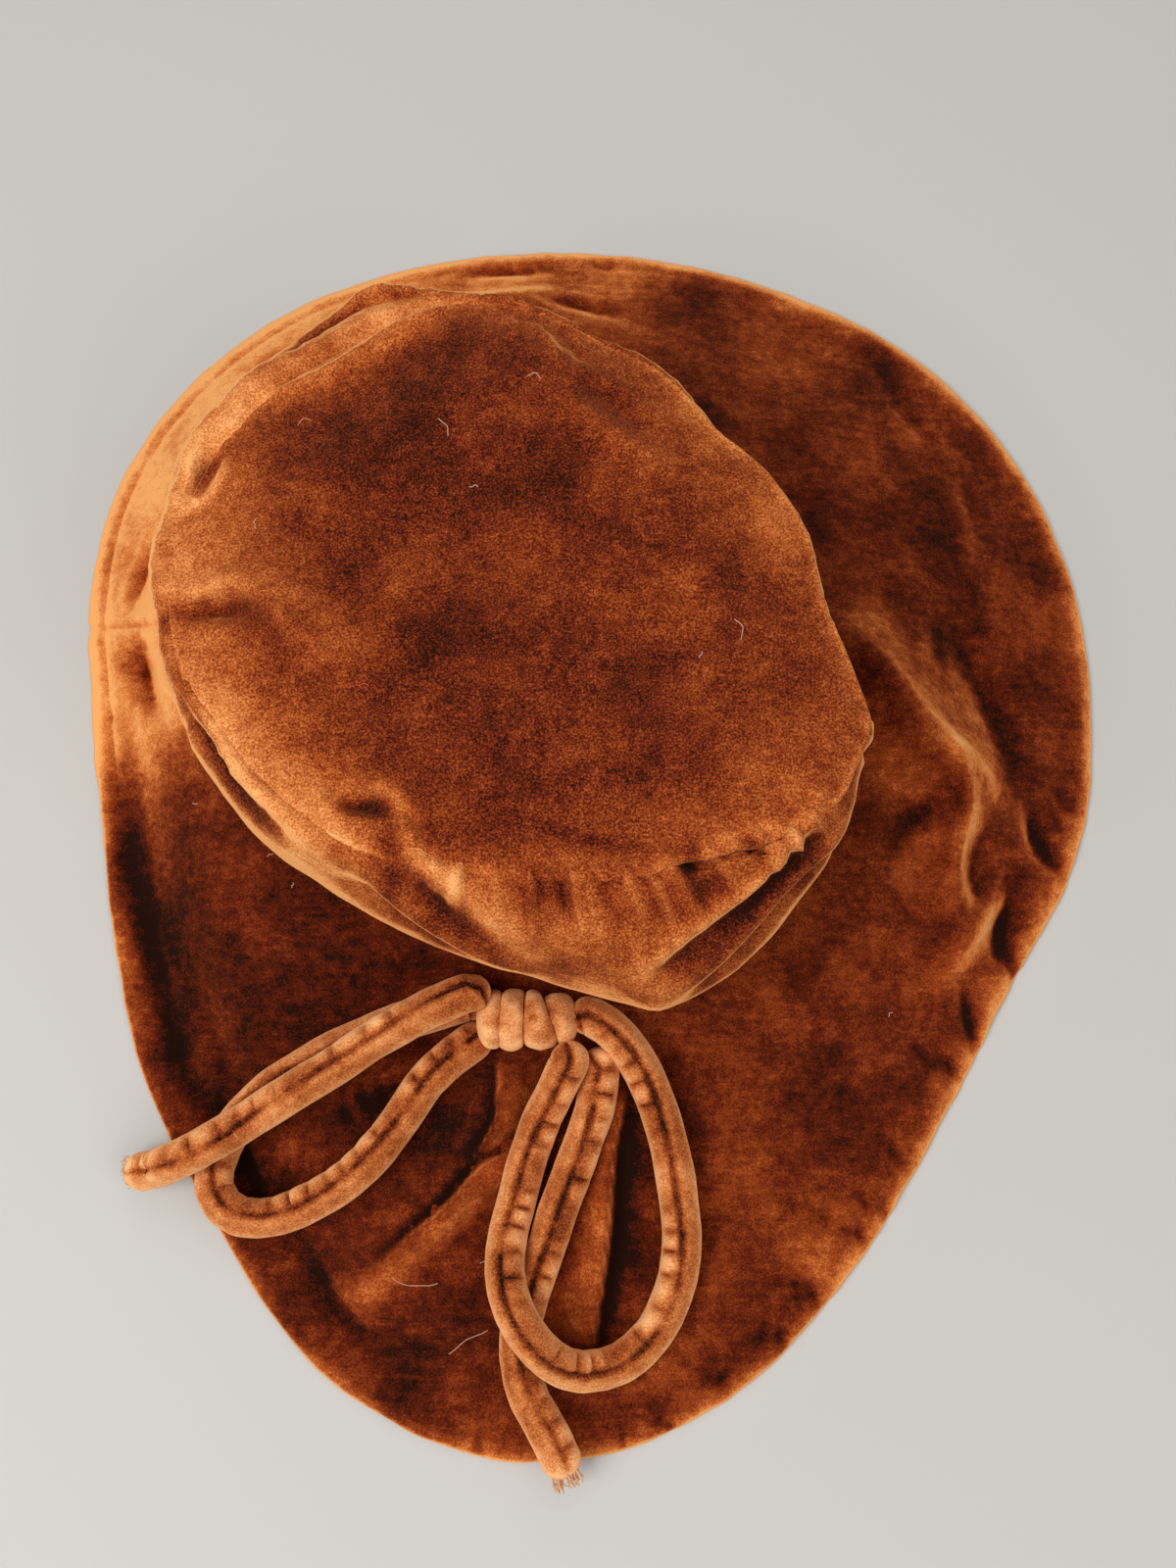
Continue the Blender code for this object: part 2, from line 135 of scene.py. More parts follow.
# The crown by bearing: where the band stands out furthest, and where the tip's seam runs.
CrownRow = namedtuple("CrownRow", "bearing belly_reach belly_height seam_reach seam_height")
CROWN = [
    CrownRow(*row)
    for row in [
        (0, 91, 58, 84, 95), (30, 84, 60, 79.5, 95), (60, 88, 74, 83, 95), (90, 101, 80, 92, 94),
        (120, 112, 82, 90, 92), (150, 110, 80, 93, 92), (180, 99, 74, 90, 94),
        (210, 91, 68, 83, 94), (240, 86.5, 64, 75, 93), (270, 93, 60, 71, 92),
        (300, 112, 60, 81, 92), (330, 105, 64, 99, 94),
    ]
]

# How far the crown's shoulder and the tip's rim swell out or draw in beside the solids, in mm.
Swell = namedtuple("Swell", "bearing shoulder rim")
SWELLS = [
    Swell(*row)
    for row in [
        (0, -3.6, -1.6), (6, -2.4, -1.4), (12, -0.3, -0.2), (18, 0.4, 0.2), (24, -0.6, -0.6),
        (30, -1.8, -1.6), (36, -3.5, -3.4), (42, -5.4, -5.4), (52, -5.0, -4.6), (60, -3.9, -3.8),
        (66, -5.2, -4.6), (72, -7.8, -5.8), (84, -7.3, -4.0), (90, -7.0, -2.3), (96, -6.2, -1.0),
        (102, -4.6, 0), (108, -1.9, 0), (114, -1.1, 0), (120, -5.0, 0), (126, -6.4, 0),
        (138, -6.0, 0), (144, -4.8, 0), (150, -0.2, 0), (156, -0.9, 0), (162, -2.6, -0.8),
        (168, -0.5, 0), (180, 0, 0), (200, 0, 0), (230, 0, 0), (243, -1.0, 0), (256, -2.6, 0),
        (268, -1.9, 0), (280, -0.7, 0), (286, 1.0, 0), (291, 3.8, 0), (296, 0.6, 0), (303, -3.2, 0),
        (310, -4.8, 0), (317, -3.8, 0), (324, -0.4, 0), (330, -0.3, 0), (334, -0.5, 0),
        (338, 2.6, 1.6), (342, 3.4, 2.6), (346, 0.5, 1.0), (350, -2.2, 0), (354, -3.2, -0.6),
    ]
]

# A fold bends from its start past a turning point to its end. Left and right are its
# widths on the two sides of that way, and a height below zero makes a valley.
Fold = namedtuple("Fold", "x0 y0 x1 y1 x2 y2 height left right")
BRIM_FOLDS = [
    # the large ridge that runs from the crown to the front, and the crest beyond its end
    Fold(76, 52, 96, 30, 124, -8, 10, 12, 9),
    Fold(113, 8, 121, -22, 111, -60, 7, 8, 7),
    Fold(124, -12, 121, -25, 118, -40, -5, 5, 5),
    Fold(131, -22, 130, -40, 125, -58, -4, 5, 5),
    Fold(140, -4, 146, -16, 149, -30, -3, 5, 5),
    Fold(116, 54, 128, 32, 134, 6, -4, 7, 7),
    # the pleats that fan out from under the knot
    Fold(-22, -84, -25, -100, -36, -112, 6, 5, 5),
    Fold(-18, -108, -38, -124, -72, -154, 6, 5, 9),
    Fold(12, -86, 7, -128, 2, -168, 5, 5, 9),
    Fold(-84, -103, -66, -92, -50, -86, 3, 5, 5),
    # the valley inside the back edge, then the fold at the far side and the back dimples
    Fold(-146, 30, -134, -66, -60, -170, -4, 9, 9),
    Fold(-56, 166, -34, 173, -8, 172, 4, 5, 5),
    Fold(-144, 84, -146, 70, -140, 58, -4, 5, 5),
    Fold(-143, 48, -142, 38, -134, 26, -4, 5, 5),
]

# On the band a fold's x is its bearing and its y the height; out is what it adds to the reach.
SIDE_FOLDS = [
    Fold(*row)
    for row in [
        (243, 88, 258, 82, 276, 62, 5, 6, 5), (236, 82, 250, 72, 266, 56, -4, 6, 6),
        (336, 88, 314, 84, 290, 68, 3, 5, 5), (334, 76, 314, 72, 294, 62, -5, 5, 6),
        (146, 90, 153, 86, 160, 88, -5, 6, 6), (181, 64, 182, 76, 181, 90, -3, 5, 5),
        (340, 84, 343, 70, 341, 50, -3, 6, 6),
    ]
]

# On the tip and the brim a fold's points are plain places.
TIP_FOLDS = [
    Fold(*row)
    for row in [
        (-68, -18, -56, -28, -42, -32, -5, 5, 5), (-62, -12, -48, -18, -38, -28, 3, 6, 5),
        (-110, 27, -98, 29, -84, 24, -3, 5, 5), (-98, 40, -76, 26, -54, 8, 3, 8, 7),
        (-66, 66, -30, 42, 14, 18, -2.5, 14, 14), (-40, 112, 0, 100, 30, 72, 2, 9, 9),
        (-96, 92, -66, 106, -40, 118, 2, 6, 8),
    ]
]

# Lines in the cloth too fine for the solids. Points along them are given as x and y in turn.
# Left and right are the widths on the two sides of the way a line runs, and a small width
# makes a sharp side.
Crease = namedtuple("Crease", "height left right points")
BRIM_CREASES = [
    # crests of the large ridge on the right, and the S-shaped fold beyond them
    Crease(3.0, 3.0, 3.4, [88, 42, 97, 30, 106, 18, 114, 11, 121, 6, 125, 0, 125, -6]),
    Crease(3.0, 3.4, 2.4, [96, 19, 113, 7, 117, -3, 117, -10, 114, -19, 113, -29, 115, -35]),
    Crease(2.0, 3.0, 2.4, [107, -25, 110, -32, 110, -41]),
    Crease(3.0, 2.4, 3.2, [128, -27, 129, -33, 124, -40, 116, -50, 107, -63]),
    Crease(1.6, 2.0, 2.0, [108, 50, 103, 36]),
    # hollows between them
    Crease(-3.6, 2.6, 2.6, [122, -14, 118, -24, 121, -34]),
    Crease(-3.2, 3.0, 3.0, [131, -25, 131, -37, 127, -51, 129, -54]),
    Crease(-2.8, 2.6, 2.6, [139, -5, 141, -16, 147, -25]),
    Crease(-2.2, 2.4, 2.4, [146, -6, 150, -12]),
    Crease(-1.2, 4.5, 4.5, [116, 50, 128, 27, 133, 8, 137, -6]),
    Crease(-2.6, 4.0, 4.0, [109, -5, 98, -13, 90, -22]),
    Crease(-1.4, 3.0, 3.0, [98, 160, 106, 135, 115, 121]),
    Crease(-1.2, 2.6, 2.6, [127, 108, 129, 87]),
    Crease(1.2, 2.4, 2.4, [121, 104, 124, 84, 123, 66]),
    Crease(-1.2, 2.0, 2.0, [112, 52, 111, 39]),
    # the three pleats under the knot: a sharp fallen edge, and a deep narrow gap beside it
    Crease(2.2, 6.0, 1.4, [-24, -83, -24, -97, -26, -103, -30, -109, -36, -112]),
    Crease(-5.0, 1.4, 3.0, [-27, -84, -27, -98, -29, -104, -33, -110.5, -38, -113.5]),
    Crease(2.4, 6.0, 2.2, [-15, -104, -21, -111, -30, -116, -40, -127, -51, -136, -62, -145]),
    Crease(-4.6, 1.8, 2.2, [-17, -102, -23, -109, -32, -114, -42, -125, -53, -134, -63, -143]),
    Crease(-4.0, 3.0, 3.0, [-8, -84, -12, -94, -17, -103]),
    Crease(2.4, 1.4, 5.0, [11, -88, 7, -111, 5, -136, 2, -157, 1, -166]),
    Crease(-6.0, 3.2, 1.5, [14, -88, 10, -111, 8, -136, 5, -157, 4, -168]),
    # the ridge and the hollow left of the knot, then the valley inside the back edge
    Crease(2.0, 4.0, 2.0, [-78, -101, -63, -92, -52, -86]),
    Crease(-3.0, 2.0, 2.0, [-80, -104, -65, -95.5, -53, -89.5]),
    Crease(
        -2.8, 5.0, 4.0,
        [-152, 16, -145, -3, -142, -24, -136, -44, -127, -70, -120, -89, -112, -99],
    ),
    Crease(-3.4, 2.6, 3.2, [-110, -94, -103, -110, -95, -124]),
    Crease(-2.6, 3.2, 3.6, [-87, -135, -81, -141, -74, -153, -60, -167]),
    Crease(1.2, 3.0, 3.0, [-98, -110, -87, -110, -80, -114]),
    Crease(1.6, 5.0, 5.0, [-70, -152, -61, -147, -54, -140]),
    # dents and short folds at the back
    Crease(-5.0, 2.6, 3.4, [-141, 48, -139, 36, -136, 27, -130, 22]),
    Crease(-3.0, 2.0, 2.4, [-151, 42, -144, 40, -139, 38]),
    Crease(-2.4, 1.8, 2.4, [-157, 28, -149, 25, -141, 23]),
    Crease(-2.4, 1.8, 2.0, [-146, 63, -143, 73, -140, 81]),
    Crease(1.4, 2.0, 2.0, [-150, 64, -147, 75, -144, 84]),
    Crease(-1.6, 2.0, 2.0, [-162, 94, -156, 95]),
    Crease(-1.6, 1.8, 1.8, [-151, 117, -143, 122]),
    Crease(-1.4, 2.0, 2.0, [-118, 146, -108, 150, -100, 158]),
    # the fold at the far side
    Crease(2.4, 2.0, 2.0, [-13, 179, -19, 177, -29, 174, -39, 173]),
    Crease(-3.0, 2.0, 2.4, [-40, 186, -26, 188, -13, 187]),
    Crease(-3.0, 2.4, 2.4, [-13, 173, 1, 171, 11, 166]),
    Crease(-2.4, 1.6, 1.6, [8, 193, 8.5, 188, 9, 184]),
]

# Tucks where the two layers were sewn together along the hem. Each ends past the edge, and the
# cloth beside it stands up in a soft puff.
HEM_TUCKS = [
    Crease(-3.4, 2.6, 3.0, [139, -4, 142, -12, 146, -20, 152, -29]),
    Crease(-2.4, 2.0, 2.0, [147, 2, 152, -3, 160, -8]),
    Crease(-3.6, 2.4, 2.8, [129, -36, 128, -44, 131, -53, 136, -61]),
    Crease(-3.6, 2.2, 2.6, [115, -60, 116, -68, 118, -77, 122, -84]),
    Crease(-2.8, 2.0, 2.6, [93, -77, 101, -81, 109, -85, 122, -91]),
    Crease(-2.4, 1.8, 2.4, [85, -104, 91, -110, 95, -113, 107, -122]),
    Crease(-2.8, 2.0, 2.6, [74, -119, 82, -124, 88, -128, 100, -136]),
    Crease(-3.0, 2.0, 2.6, [60, -125, 75, -132, 82, -135, 94, -144]),
    Crease(-2.8, 2.0, 2.8, [54, -146, 63, -148, 69, -152, 80, -161]),
    Crease(-2.6, 1.8, 2.4, [46, -159, 52, -161, 57, -164, 69, -173]),
    Crease(-2.8, 1.8, 2.6, [31, -170, 37, -173, 42, -177, 50, -189]),
    Crease(-2.6, 1.8, 2.4, [19, -181, 21, -185, 25, -189, 31, -200]),
    Crease(-1.8, 1.6, 1.8, [10, -186, 11, -192, 13, -206]),
    Crease(-1.8, 1.8, 1.8, [-30, -185, -32, -198]),
    Crease(-1.8, 1.8, 1.8, [-56, -172, -60, -182]),
]

# Lines painted darker or lighter, with the change in place of height: painted shade in hollows and
# in the gaps beside the pleats, and painted highlight along crests.
BRIM_PAINTED_LIGHT_LINES = [
    Crease(-0.07, 6, 3, [86, 52, 94, 44, 103, 32, 110, 20, 118, 13, 127, 5, 130, -4]),
    Crease(-0.06, 8, 8, [100, 70, 118, 50, 130, 27, 136, 8, 139, -10]),
    Crease(-0.16, 5, 5, [109, -5, 98, -13, 90, -22]),
    Crease(0.16, 9, 9, [84, 30, 94, 10, 100, 0, 102, -20, 96, -42]),
    Crease(-0.10, 14, 14, [60, -60, 78, -84, 60, -112]),
    Crease(0.14, 4, 5, [-146, -30, -140, -60, -130, -88]),
    Crease(-0.14, 8, 8, [-128, 20, -128, -10, -122, -50, -108, -80]),
    Crease(-0.12, 6, 4, [-36, -96, -46, -108, -62, -120]),
    Crease(-0.22, 14, 3, [17, -92, 13, -112, 11, -136, 8, -156]),
    Crease(0.16, 6, 6, [-70, -156, -61, -149, -52, -143]),
    Crease(0.08, 3, 3, [-99, -110, -88, -110, -80, -112]),
]

# The brim's one seam, straight out at this bearing: a narrow groove between two soft lips.
SEAM_BEARING = 168.6
SEAM_WIDTH = 0.9

# On the crown the points are a bearing and a reach from the middle in turn, seen from above.
CROWN_CREASES = [
    # the lip of the dent at the front, and the hollows on its inner side
    Crease(3.6, 3.0, 4.0, [232, 66, 239, 61, 244, 64, 248, 68, 252, 72, 259, 75, 271, 84, 276, 87]),
    Crease(-3.4, 2.6, 2.6, [230, 69, 233, 67.5, 238, 64.7]),
    Crease(-3.0, 2.4, 2.4, [243, 67, 244.3, 70, 244.6, 75]),
    Crease(-2.2, 2.0, 2.0, [250, 76, 256, 80, 262, 86]),
    # the ridge along the crown's left shoulder, with small folds outside it
    Crease(2.8, 3.0, 2.2, [196, 88, 204, 84, 213, 83, 225, 81, 236, 81]),
    Crease(-2.4, 1.8, 1.8, [196, 91, 204, 88, 213, 87, 225, 84]),
    Crease(-1.6, 1.6, 1.6, [204, 86, 208, 90]),
    Crease(-1.4, 1.4, 1.4, [209, 84, 212, 89]),
    Crease(1.2, 1.4, 1.4, [198, 88, 203, 92, 208, 93]),
    # the dent from the back with the soft light ridge beyond it
    Crease(-3.4, 2.2, 3.4, [177.6, 97.4, 180.6, 86.3, 179.9, 76.3, 182.5, 67.4]),
    Crease(2.2, 3.0, 2.4, [178, 92, 177, 82, 176, 72, 186, 60, 199, 50, 205, 42]),
    # the long fold right of the front, and the valley outside it
    Crease(3.0, 2.6, 2.6, [330, 94, 325, 96, 318, 96, 309, 97, 296, 98, 290, 102]),
    Crease(-3.8, 2.6, 2.6, [324, 102, 317, 101, 310, 100, 298, 101.5, 291, 104]),
    Crease(-2.6, 1.8, 1.8, [339, 96, 338, 102, 337, 106]),
    Crease(-1.6, 1.6, 1.6, [344, 92, 343, 99, 343, 104]),
    # the sharp edge at the far left, and the deep valley outside it
    Crease(3.0, 1.8, 2.2, [99, 94, 111, 90, 119, 87, 128, 87, 134, 90, 137, 94]),
    Crease(-4.0, 3.6, 3.6, [104, 99, 109, 101, 116, 103, 124, 102, 132, 103]),
    Crease(1.6, 1.6, 1.6, [113, 97, 121, 96, 128, 96]),
    # the pocket beside it
    Crease(-4.0, 3.2, 3.2, [150, 94, 154, 93.5, 158, 95]),
    Crease(2.2, 1.4, 1.6, [150, 91, 152, 89, 157, 88, 160, 91, 161, 98]),
    Crease(1.8, 1.2, 1.2, [153.5, 101, 155, 98, 157, 96]),
    Crease(1.4, 1.6, 1.6, [140, 98, 144, 95, 148, 97]),
    # soft folds at the far side of the tip
    Crease(2.0, 3.6, 3.6, [80, 65, 71, 57, 53, 54, 41, 57]),
    Crease(-1.8, 3.4, 3.4, [72, 67, 66, 63.5, 54, 62]),
    Crease(1.8, 1.6, 1.6, [87, 84, 82, 76, 80, 69]),
    Crease(-1.4, 1.6, 1.6, [82, 86, 78, 78, 75, 72]),
    Crease(1.4, 1.6, 1.6, [92, 87, 90, 82, 89, 77]),
    # tight gathers at the seam
    Crease(-2.4, 1.4, 1.4, [304, 78, 304, 82, 305, 86]),
    Crease(-2.2, 1.4, 1.4, [309, 81, 309, 84, 310, 89]),
    Crease(-2.2, 1.4, 1.4, [314, 86, 314, 89, 314, 94]),
    Crease(-1.6, 1.4, 1.4, [297, 76, 297, 80, 298, 84]),
    Crease(-1.4, 1.6, 1.6, [286, 71, 286, 76]),
]

# Zones by bearing that are painted lighter or darker, with soft ends: painted light and shade for
# sides that face the lamps, face away from them, or slope away from the eye, such as the bright
# back-left of the brim. Bearings are counted on from the zone's turn, so a zone with a turn can run
# past 360 and on through 0.
Zone = namedtuple("Zone", "start stop soft change turn", defaults=[0])
BRIM_ZONES = [
    Zone(103, 190, 9, 0.43),
    Zone(78, 103, 8, 0.172),
    Zone(268, 352, 14, 0.04),
    Zone(15, 85, 20, -0.05),
    Zone(196, 262, 10, -0.06),
]
# The hem's very edge is painted paler than the cloth, as painted sheen where the rolled edge turns
# away from the eye, and a wider mottled margin inside it is painted paler as painted light.
EDGE_PAINTED_SHEEN = 0.34
EDGE_ZONES = [Zone(190, 262, 10, -0.19)]
MARGIN_ZONES = [Zone(22, 100, 12, 0.26), Zone(290, 360, 8, 0.156)]
# Painted light on the band, its shoulders and the tip's sides: lighter where they slope away from
# the eye, and lifted where they face away from the lamps.
BAND_ZONES = [Zone(140, 246, 10, 0.16)]
NEAR_SHOULDER_ZONES = [Zone(246, 352, 10, 0.02)]
LEFT_SHOULDER_ZONES = [Zone(100, 180, 8, 0.26)]
TIP_LEFT_ZONES = [Zone(150, 240, 20, 0.3)]
TIP_RIGHT_ZONES = [Zone(300, 420, 20, 0.09, 180)]
# The tip's rolled edge is painted paler as painted sheen, more on some bearings.
LIP_PAINTED_SHEEN = 0.08
LIP_ZONES = [Zone(202, 244, 6, 0.2), Zone(320, 460, 8, 0.14, 100)]

# On the crown too, lines are painted lighter or darker: painted highlight on lit lips and ridges,
# and painted shade in dents, pockets and valleys.
CROWN_PAINTED_LIGHT_LINES = [
    Crease(-0.24, 2.6, 6.0, [180, 97, 181, 88, 180, 78, 181, 67, 185, 61]),
    Crease(-0.10, 12, 12, [186, 84, 191, 68, 203, 55]),
    Crease(0.16, 7, 5, [176, 74, 177, 64, 184, 51, 197, 42, 205, 39]),
    Crease(0.26, 2.4, 2.0, [231, 68, 234, 63, 239, 60, 245, 62, 250, 65]),
    Crease(-0.34, 2.6, 2.6, [230, 71, 234, 67.5, 238, 65, 243, 65]),
    Crease(0.15, 2.2, 3.0, [243, 62, 246, 67, 252, 70, 261, 77, 268, 85, 275, 91]),
    Crease(-0.12, 3.0, 3.0, [248, 72, 255, 77, 262, 83, 268, 90]),
    Crease(-0.14, 3.0, 3.0, [247, 87, 248, 80, 246, 70]),
    Crease(0.26, 1.4, 1.2, [197, 87, 204, 84, 210, 83.5, 217, 83, 230, 82, 240, 82]),
    Crease(-0.30, 2.6, 2.6, [201, 88, 206, 87.5, 212, 87, 221, 86.5, 228, 86]),
    Crease(-0.06, 7, 6, [98, 103, 106, 104, 116, 105, 126, 106, 136, 104]),
    Crease(0.18, 3.5, 4.0, [98, 92, 108, 88, 119, 85, 130, 86, 140, 90]),
    Crease(-0.12, 14, 14, [104, 66, 130, 70, 150, 66]),
    Crease(0.22, 1.8, 1.8, [150, 90, 155, 88, 159, 89, 161, 93, 161, 97]),
    Crease(-0.2, 2.5, 2.5, [152, 95, 156, 93, 160, 94]),
    Crease(0.14, 1.5, 1.5, [150, 101, 154, 99, 158, 95]),
    Crease(0.2, 2.5, 2.5, [120, 112, 115, 113, 108, 110, 100, 105]),
    # painted highlights and shade across the gathered front of the band
    Crease(-0.2, 4, 4, [270, 76, 276, 75, 281, 78, 284, 82]),
    Crease(-0.22, 2, 2, [306, 78, 305, 82, 302, 86]),
    Crease(-0.16, 3, 3, [300, 88, 303, 90, 307, 94]),
    Crease(-0.12, 4, 4, [250, 75, 257, 81, 265, 88, 272, 94]),
    Crease(-0.24, 4, 4, [299, 106, 306, 104, 313, 102, 321, 101]),
    Crease(-0.16, 2, 2, [276, 59, 283, 64, 290, 69, 300, 76]),
    Crease(-0.2, 1.5, 1.5, [314, 87, 314, 92]),
    Crease(0.16, 4, 4, [257, 71, 265, 73, 273, 74]),
    Crease(0.2, 3, 3, [298, 78, 298, 85, 297, 91]),
    Crease(0.22, 3, 3, [268, 85, 273, 90, 277, 89, 278, 85]),
    Crease(0.16, 2.5, 2.5, [306, 81, 312, 85, 317, 89, 322, 94]),
    Crease(0.2, 2, 2, [289, 103, 295, 99, 303, 98, 312, 97, 322, 97]),
    Crease(0.14, 3, 3, [290, 109, 298, 109, 308, 105, 324, 105]),
]

# Loose fibres and specks lying on the cloth: where, how long, which way they point, how bent.
Lint = namedtuple("Lint", "x y length heading bend")
LINT = [
    Lint(*row)
    for row in [
        (-77, 81, 4, 30, 1.6), (-38.5, 77.5, 6, -60, 0.8), (-14, 92, 4, -20, 1.2),
        (39.5, 19, 6, -80, 1.5), (30, 12, 2, 60, 0.2), (-88, 50, 3, 100, 0.6),
        (-30, 60, 2.4, 10, 0.4), (-49.5, -147, 13, -5, -1.6), (-34, -164, 13, 30, 0.6),
        (-95, -24, 2, 20, 0.2), (-88, -33, 1.6, 70, 0.1), (-120, -7, 1.8, -10, 0.2),
        (-27, -141, 8, 20, 0.5), (24, -157, 9, 12, -0.8), (92, -70, 2, 50, 0.2),
    ]
]
RED_LINT = [Lint(-57.5, 3.5, 3.4, 5, 0.5)]

# The cords' routes, in order from the knot: x, y, and how far they lie above the brim.
Stop = namedtuple("Stop", "x y lift")
LOOP_LEFT = [
    Stop(*row)
    for row in [
        (-33.5, -67.5, 0.9), (-45, -70.8, 0.9), (-57, -74.5, 0.9), (-68.5, -79, 0.9),
        (-82, -85.5, 0.9), (-93, -92.5, 0.9), (-101, -99, 0.9), (-106.5, -107, 0.9),
        (-109.5, -116, 0.9), (-108, -124, 0.9), (-101.5, -129, 0.9), (-91, -129, 0.9),
        (-80.5, -125, 0.9), (-70, -119, 0.9), (-60.5, -110, 0.9), (-53.5, -100.5, 0.9),
        (-47, -91, 1.2), (-40, -84.5, 1.6), (-33.2, -79.6, 2),
    ]
]
TAIL_LEFT = [
    Stop(*row)
    for row in [
        (-33.2, -66.5, 13.2), (-45.5, -71.6, 13.2), (-59, -79, 13.2), (-73.5, -88, 12.6),
        (-88, -96.5, 12.4), (-101, -104, 13), (-109, -109, 13.4), (-118, -113, 10),
        (-127, -115.5, 4), (-136, -117, 0.9),
    ]
]
LOOP_RIGHT = [
    Stop(*row)
    for row in [
        (-4.6, -85.8, 8.6), (-8, -92, 5), (-12.5, -101, 1.6), (-17, -113, 0.9), (-20.7, -127, 1.4),
        (-23, -138, 6), (-21.5, -151, 12.6), (-15, -162.5, 12.6), (-7, -169.5, 6), (2, -171.5, 1.6),
        (12, -168, 0.9), (20.5, -159.5, 0.9), (26, -147.5, 0.9), (27.8, -135, 0.9),
        (26.5, -121.5, 0.9), (24, -108, 0.9), (20, -95.5, 0.9), (14.5, -84.5, 2.4), (7.5, -76.5, 5),
        (1.3, -72.5, 6),
    ]
]
TAIL_RIGHT = [
    Stop(*row)
    for row in [
        (4.2, -86.8, 0.9), (3, -97, 0.9), (-0.5, -107.5, 0.9), (-5, -119, 0.9), (-8.6, -129, 0.9),
        (-12.2, -139.5, 0.9), (-16.4, -151.5, 0.9), (-19.2, -163.5, 0.9), (-17.5, -175.5, 0.9),
        (-12.7, -184.5, 0.9), (-8, -192.5, 1.6), (-5, -199.5, 3.4),
    ]
]


def hermite(start, leaving, end, arriving, u):
    """The cubic from start to end with the given slopes at its two ends."""
    return (
        start * (1 + 2 * u) * (1 - u) ** 2
        + leaving * u * (1 - u) ** 2
        + end * u * u * (3 - 2 * u)
        + arriving * u * u * (u - 1)
    )


def ease_in(low, high, value):
    """0 below low, 1 above high, and smooth between them."""
    u = np.clip((value - low) / (high - low), 0, 1)
    return u * u * (3 - 2 * u)


def within(start, stop, soft, value):
    """1 from start to stop and 0 outside, with soft ends."""
    begun = ease_in(start - soft, start + soft, value)
    return begun * (1 - ease_in(stop - soft, stop + soft, value))


def in_zones(zones, bearing):
    """How much lighter the pile is at each bearing, from all the zones together."""
    total = np.zeros_like(bearing)
    for zone in zones:
        on_round = (bearing - zone.turn) % 360 + zone.turn
        total += zone.change * within(zone.start, zone.stop, zone.soft, on_round)
    return total


def fading(size, distance):
    """1 at distance 0, falling away smoothly over the given size."""
    return np.exp(-((distance / size) ** 2))


def around(rows, column, bearing):
    """One column of a table of bearings, as a smooth curve that closes on itself."""
    at = np.array([row.bearing for row in rows], float)
    value = np.array([getattr(row, column) for row in rows], float)
    at = np.concatenate([at[-2:] - 360, at, at[:2] + 360])
    value = np.concatenate([value[-2:], value, value[:2]])
    slope = np.gradient(value, at)
    bearing = np.asarray(bearing, float) % 360
    i = np.searchsorted(at, bearing, side="right") - 1
    step = at[i + 1] - at[i]
    u = (bearing - at[i]) / step
    return hermite(value[i], slope[i] * step, value[i + 1], slope[i + 1] * step, u)


def head_reach(bearing):
    """From the middle to the crown's foot, along an oval with a centre of its own."""
    turn = math.radians(HEAD_TURN)
    dx, dy = MIDDLE[0] - HEAD_CENTRE[0], MIDDLE[1] - HEAD_CENTRE[1]
    from_x = (dx * math.cos(turn) + dy * math.sin(turn)) * 2 / HEAD_LENGTH
    from_y = (dy * math.cos(turn) - dx * math.sin(turn)) * 2 / HEAD_WIDTH
    way = np.radians(bearing) - turn
    way_x, way_y = np.cos(way) * 2 / HEAD_LENGTH, np.sin(way) * 2 / HEAD_WIDTH
    a = way_x**2 + way_y**2
    b = from_x * way_x + from_y * way_y
    c = from_x**2 + from_y**2 - 1
    return (np.sqrt(b * b - a * c) - b) / a


def polar(x, y):
    """Bearing and reach from the middle."""
    off_x, off_y = x - MIDDLE[0], y - MIDDLE[1]
    return np.degrees(np.arctan2(off_y, off_x)) % 360, np.hypot(off_x, off_y)


def plain(bearing, reach):
    """The place at a bearing and reach from the middle."""
    way = np.radians(bearing)
    return MIDDLE[0] + reach * np.cos(way), MIDDLE[1] + reach * np.sin(way)


def smooth_through(points, steps):
    """A smooth curve through points, as rows."""
    points = np.array(points, float)
    slope = np.gradient(points, axis=0)
    fine = np.linspace(0, len(points) - 1, steps * (len(points) - 1) + 1)
    i = np.minimum(fine.astype(int), len(points) - 2)
    return hermite(points[i], slope[i], points[i + 1], slope[i + 1], (fine - i)[:, None])


def line_of(fold):
    """Points along a fold or a crease."""
    if isinstance(fold, Crease):
        return smooth_through(np.reshape(fold.points, (-1, 2)), 10).T
    u = np.linspace(0, 1, 25)
    bend = [(1 - u) ** 2, 2 * u * (1 - u), u * u]
    line_x = fold.x0 * bend[0] + fold.x1 * bend[1] + fold.x2 * bend[2]
    line_y = fold.y0 * bend[0] + fold.y1 * bend[1] + fold.y2 * bend[2]
    return np.stack([line_x, line_y])


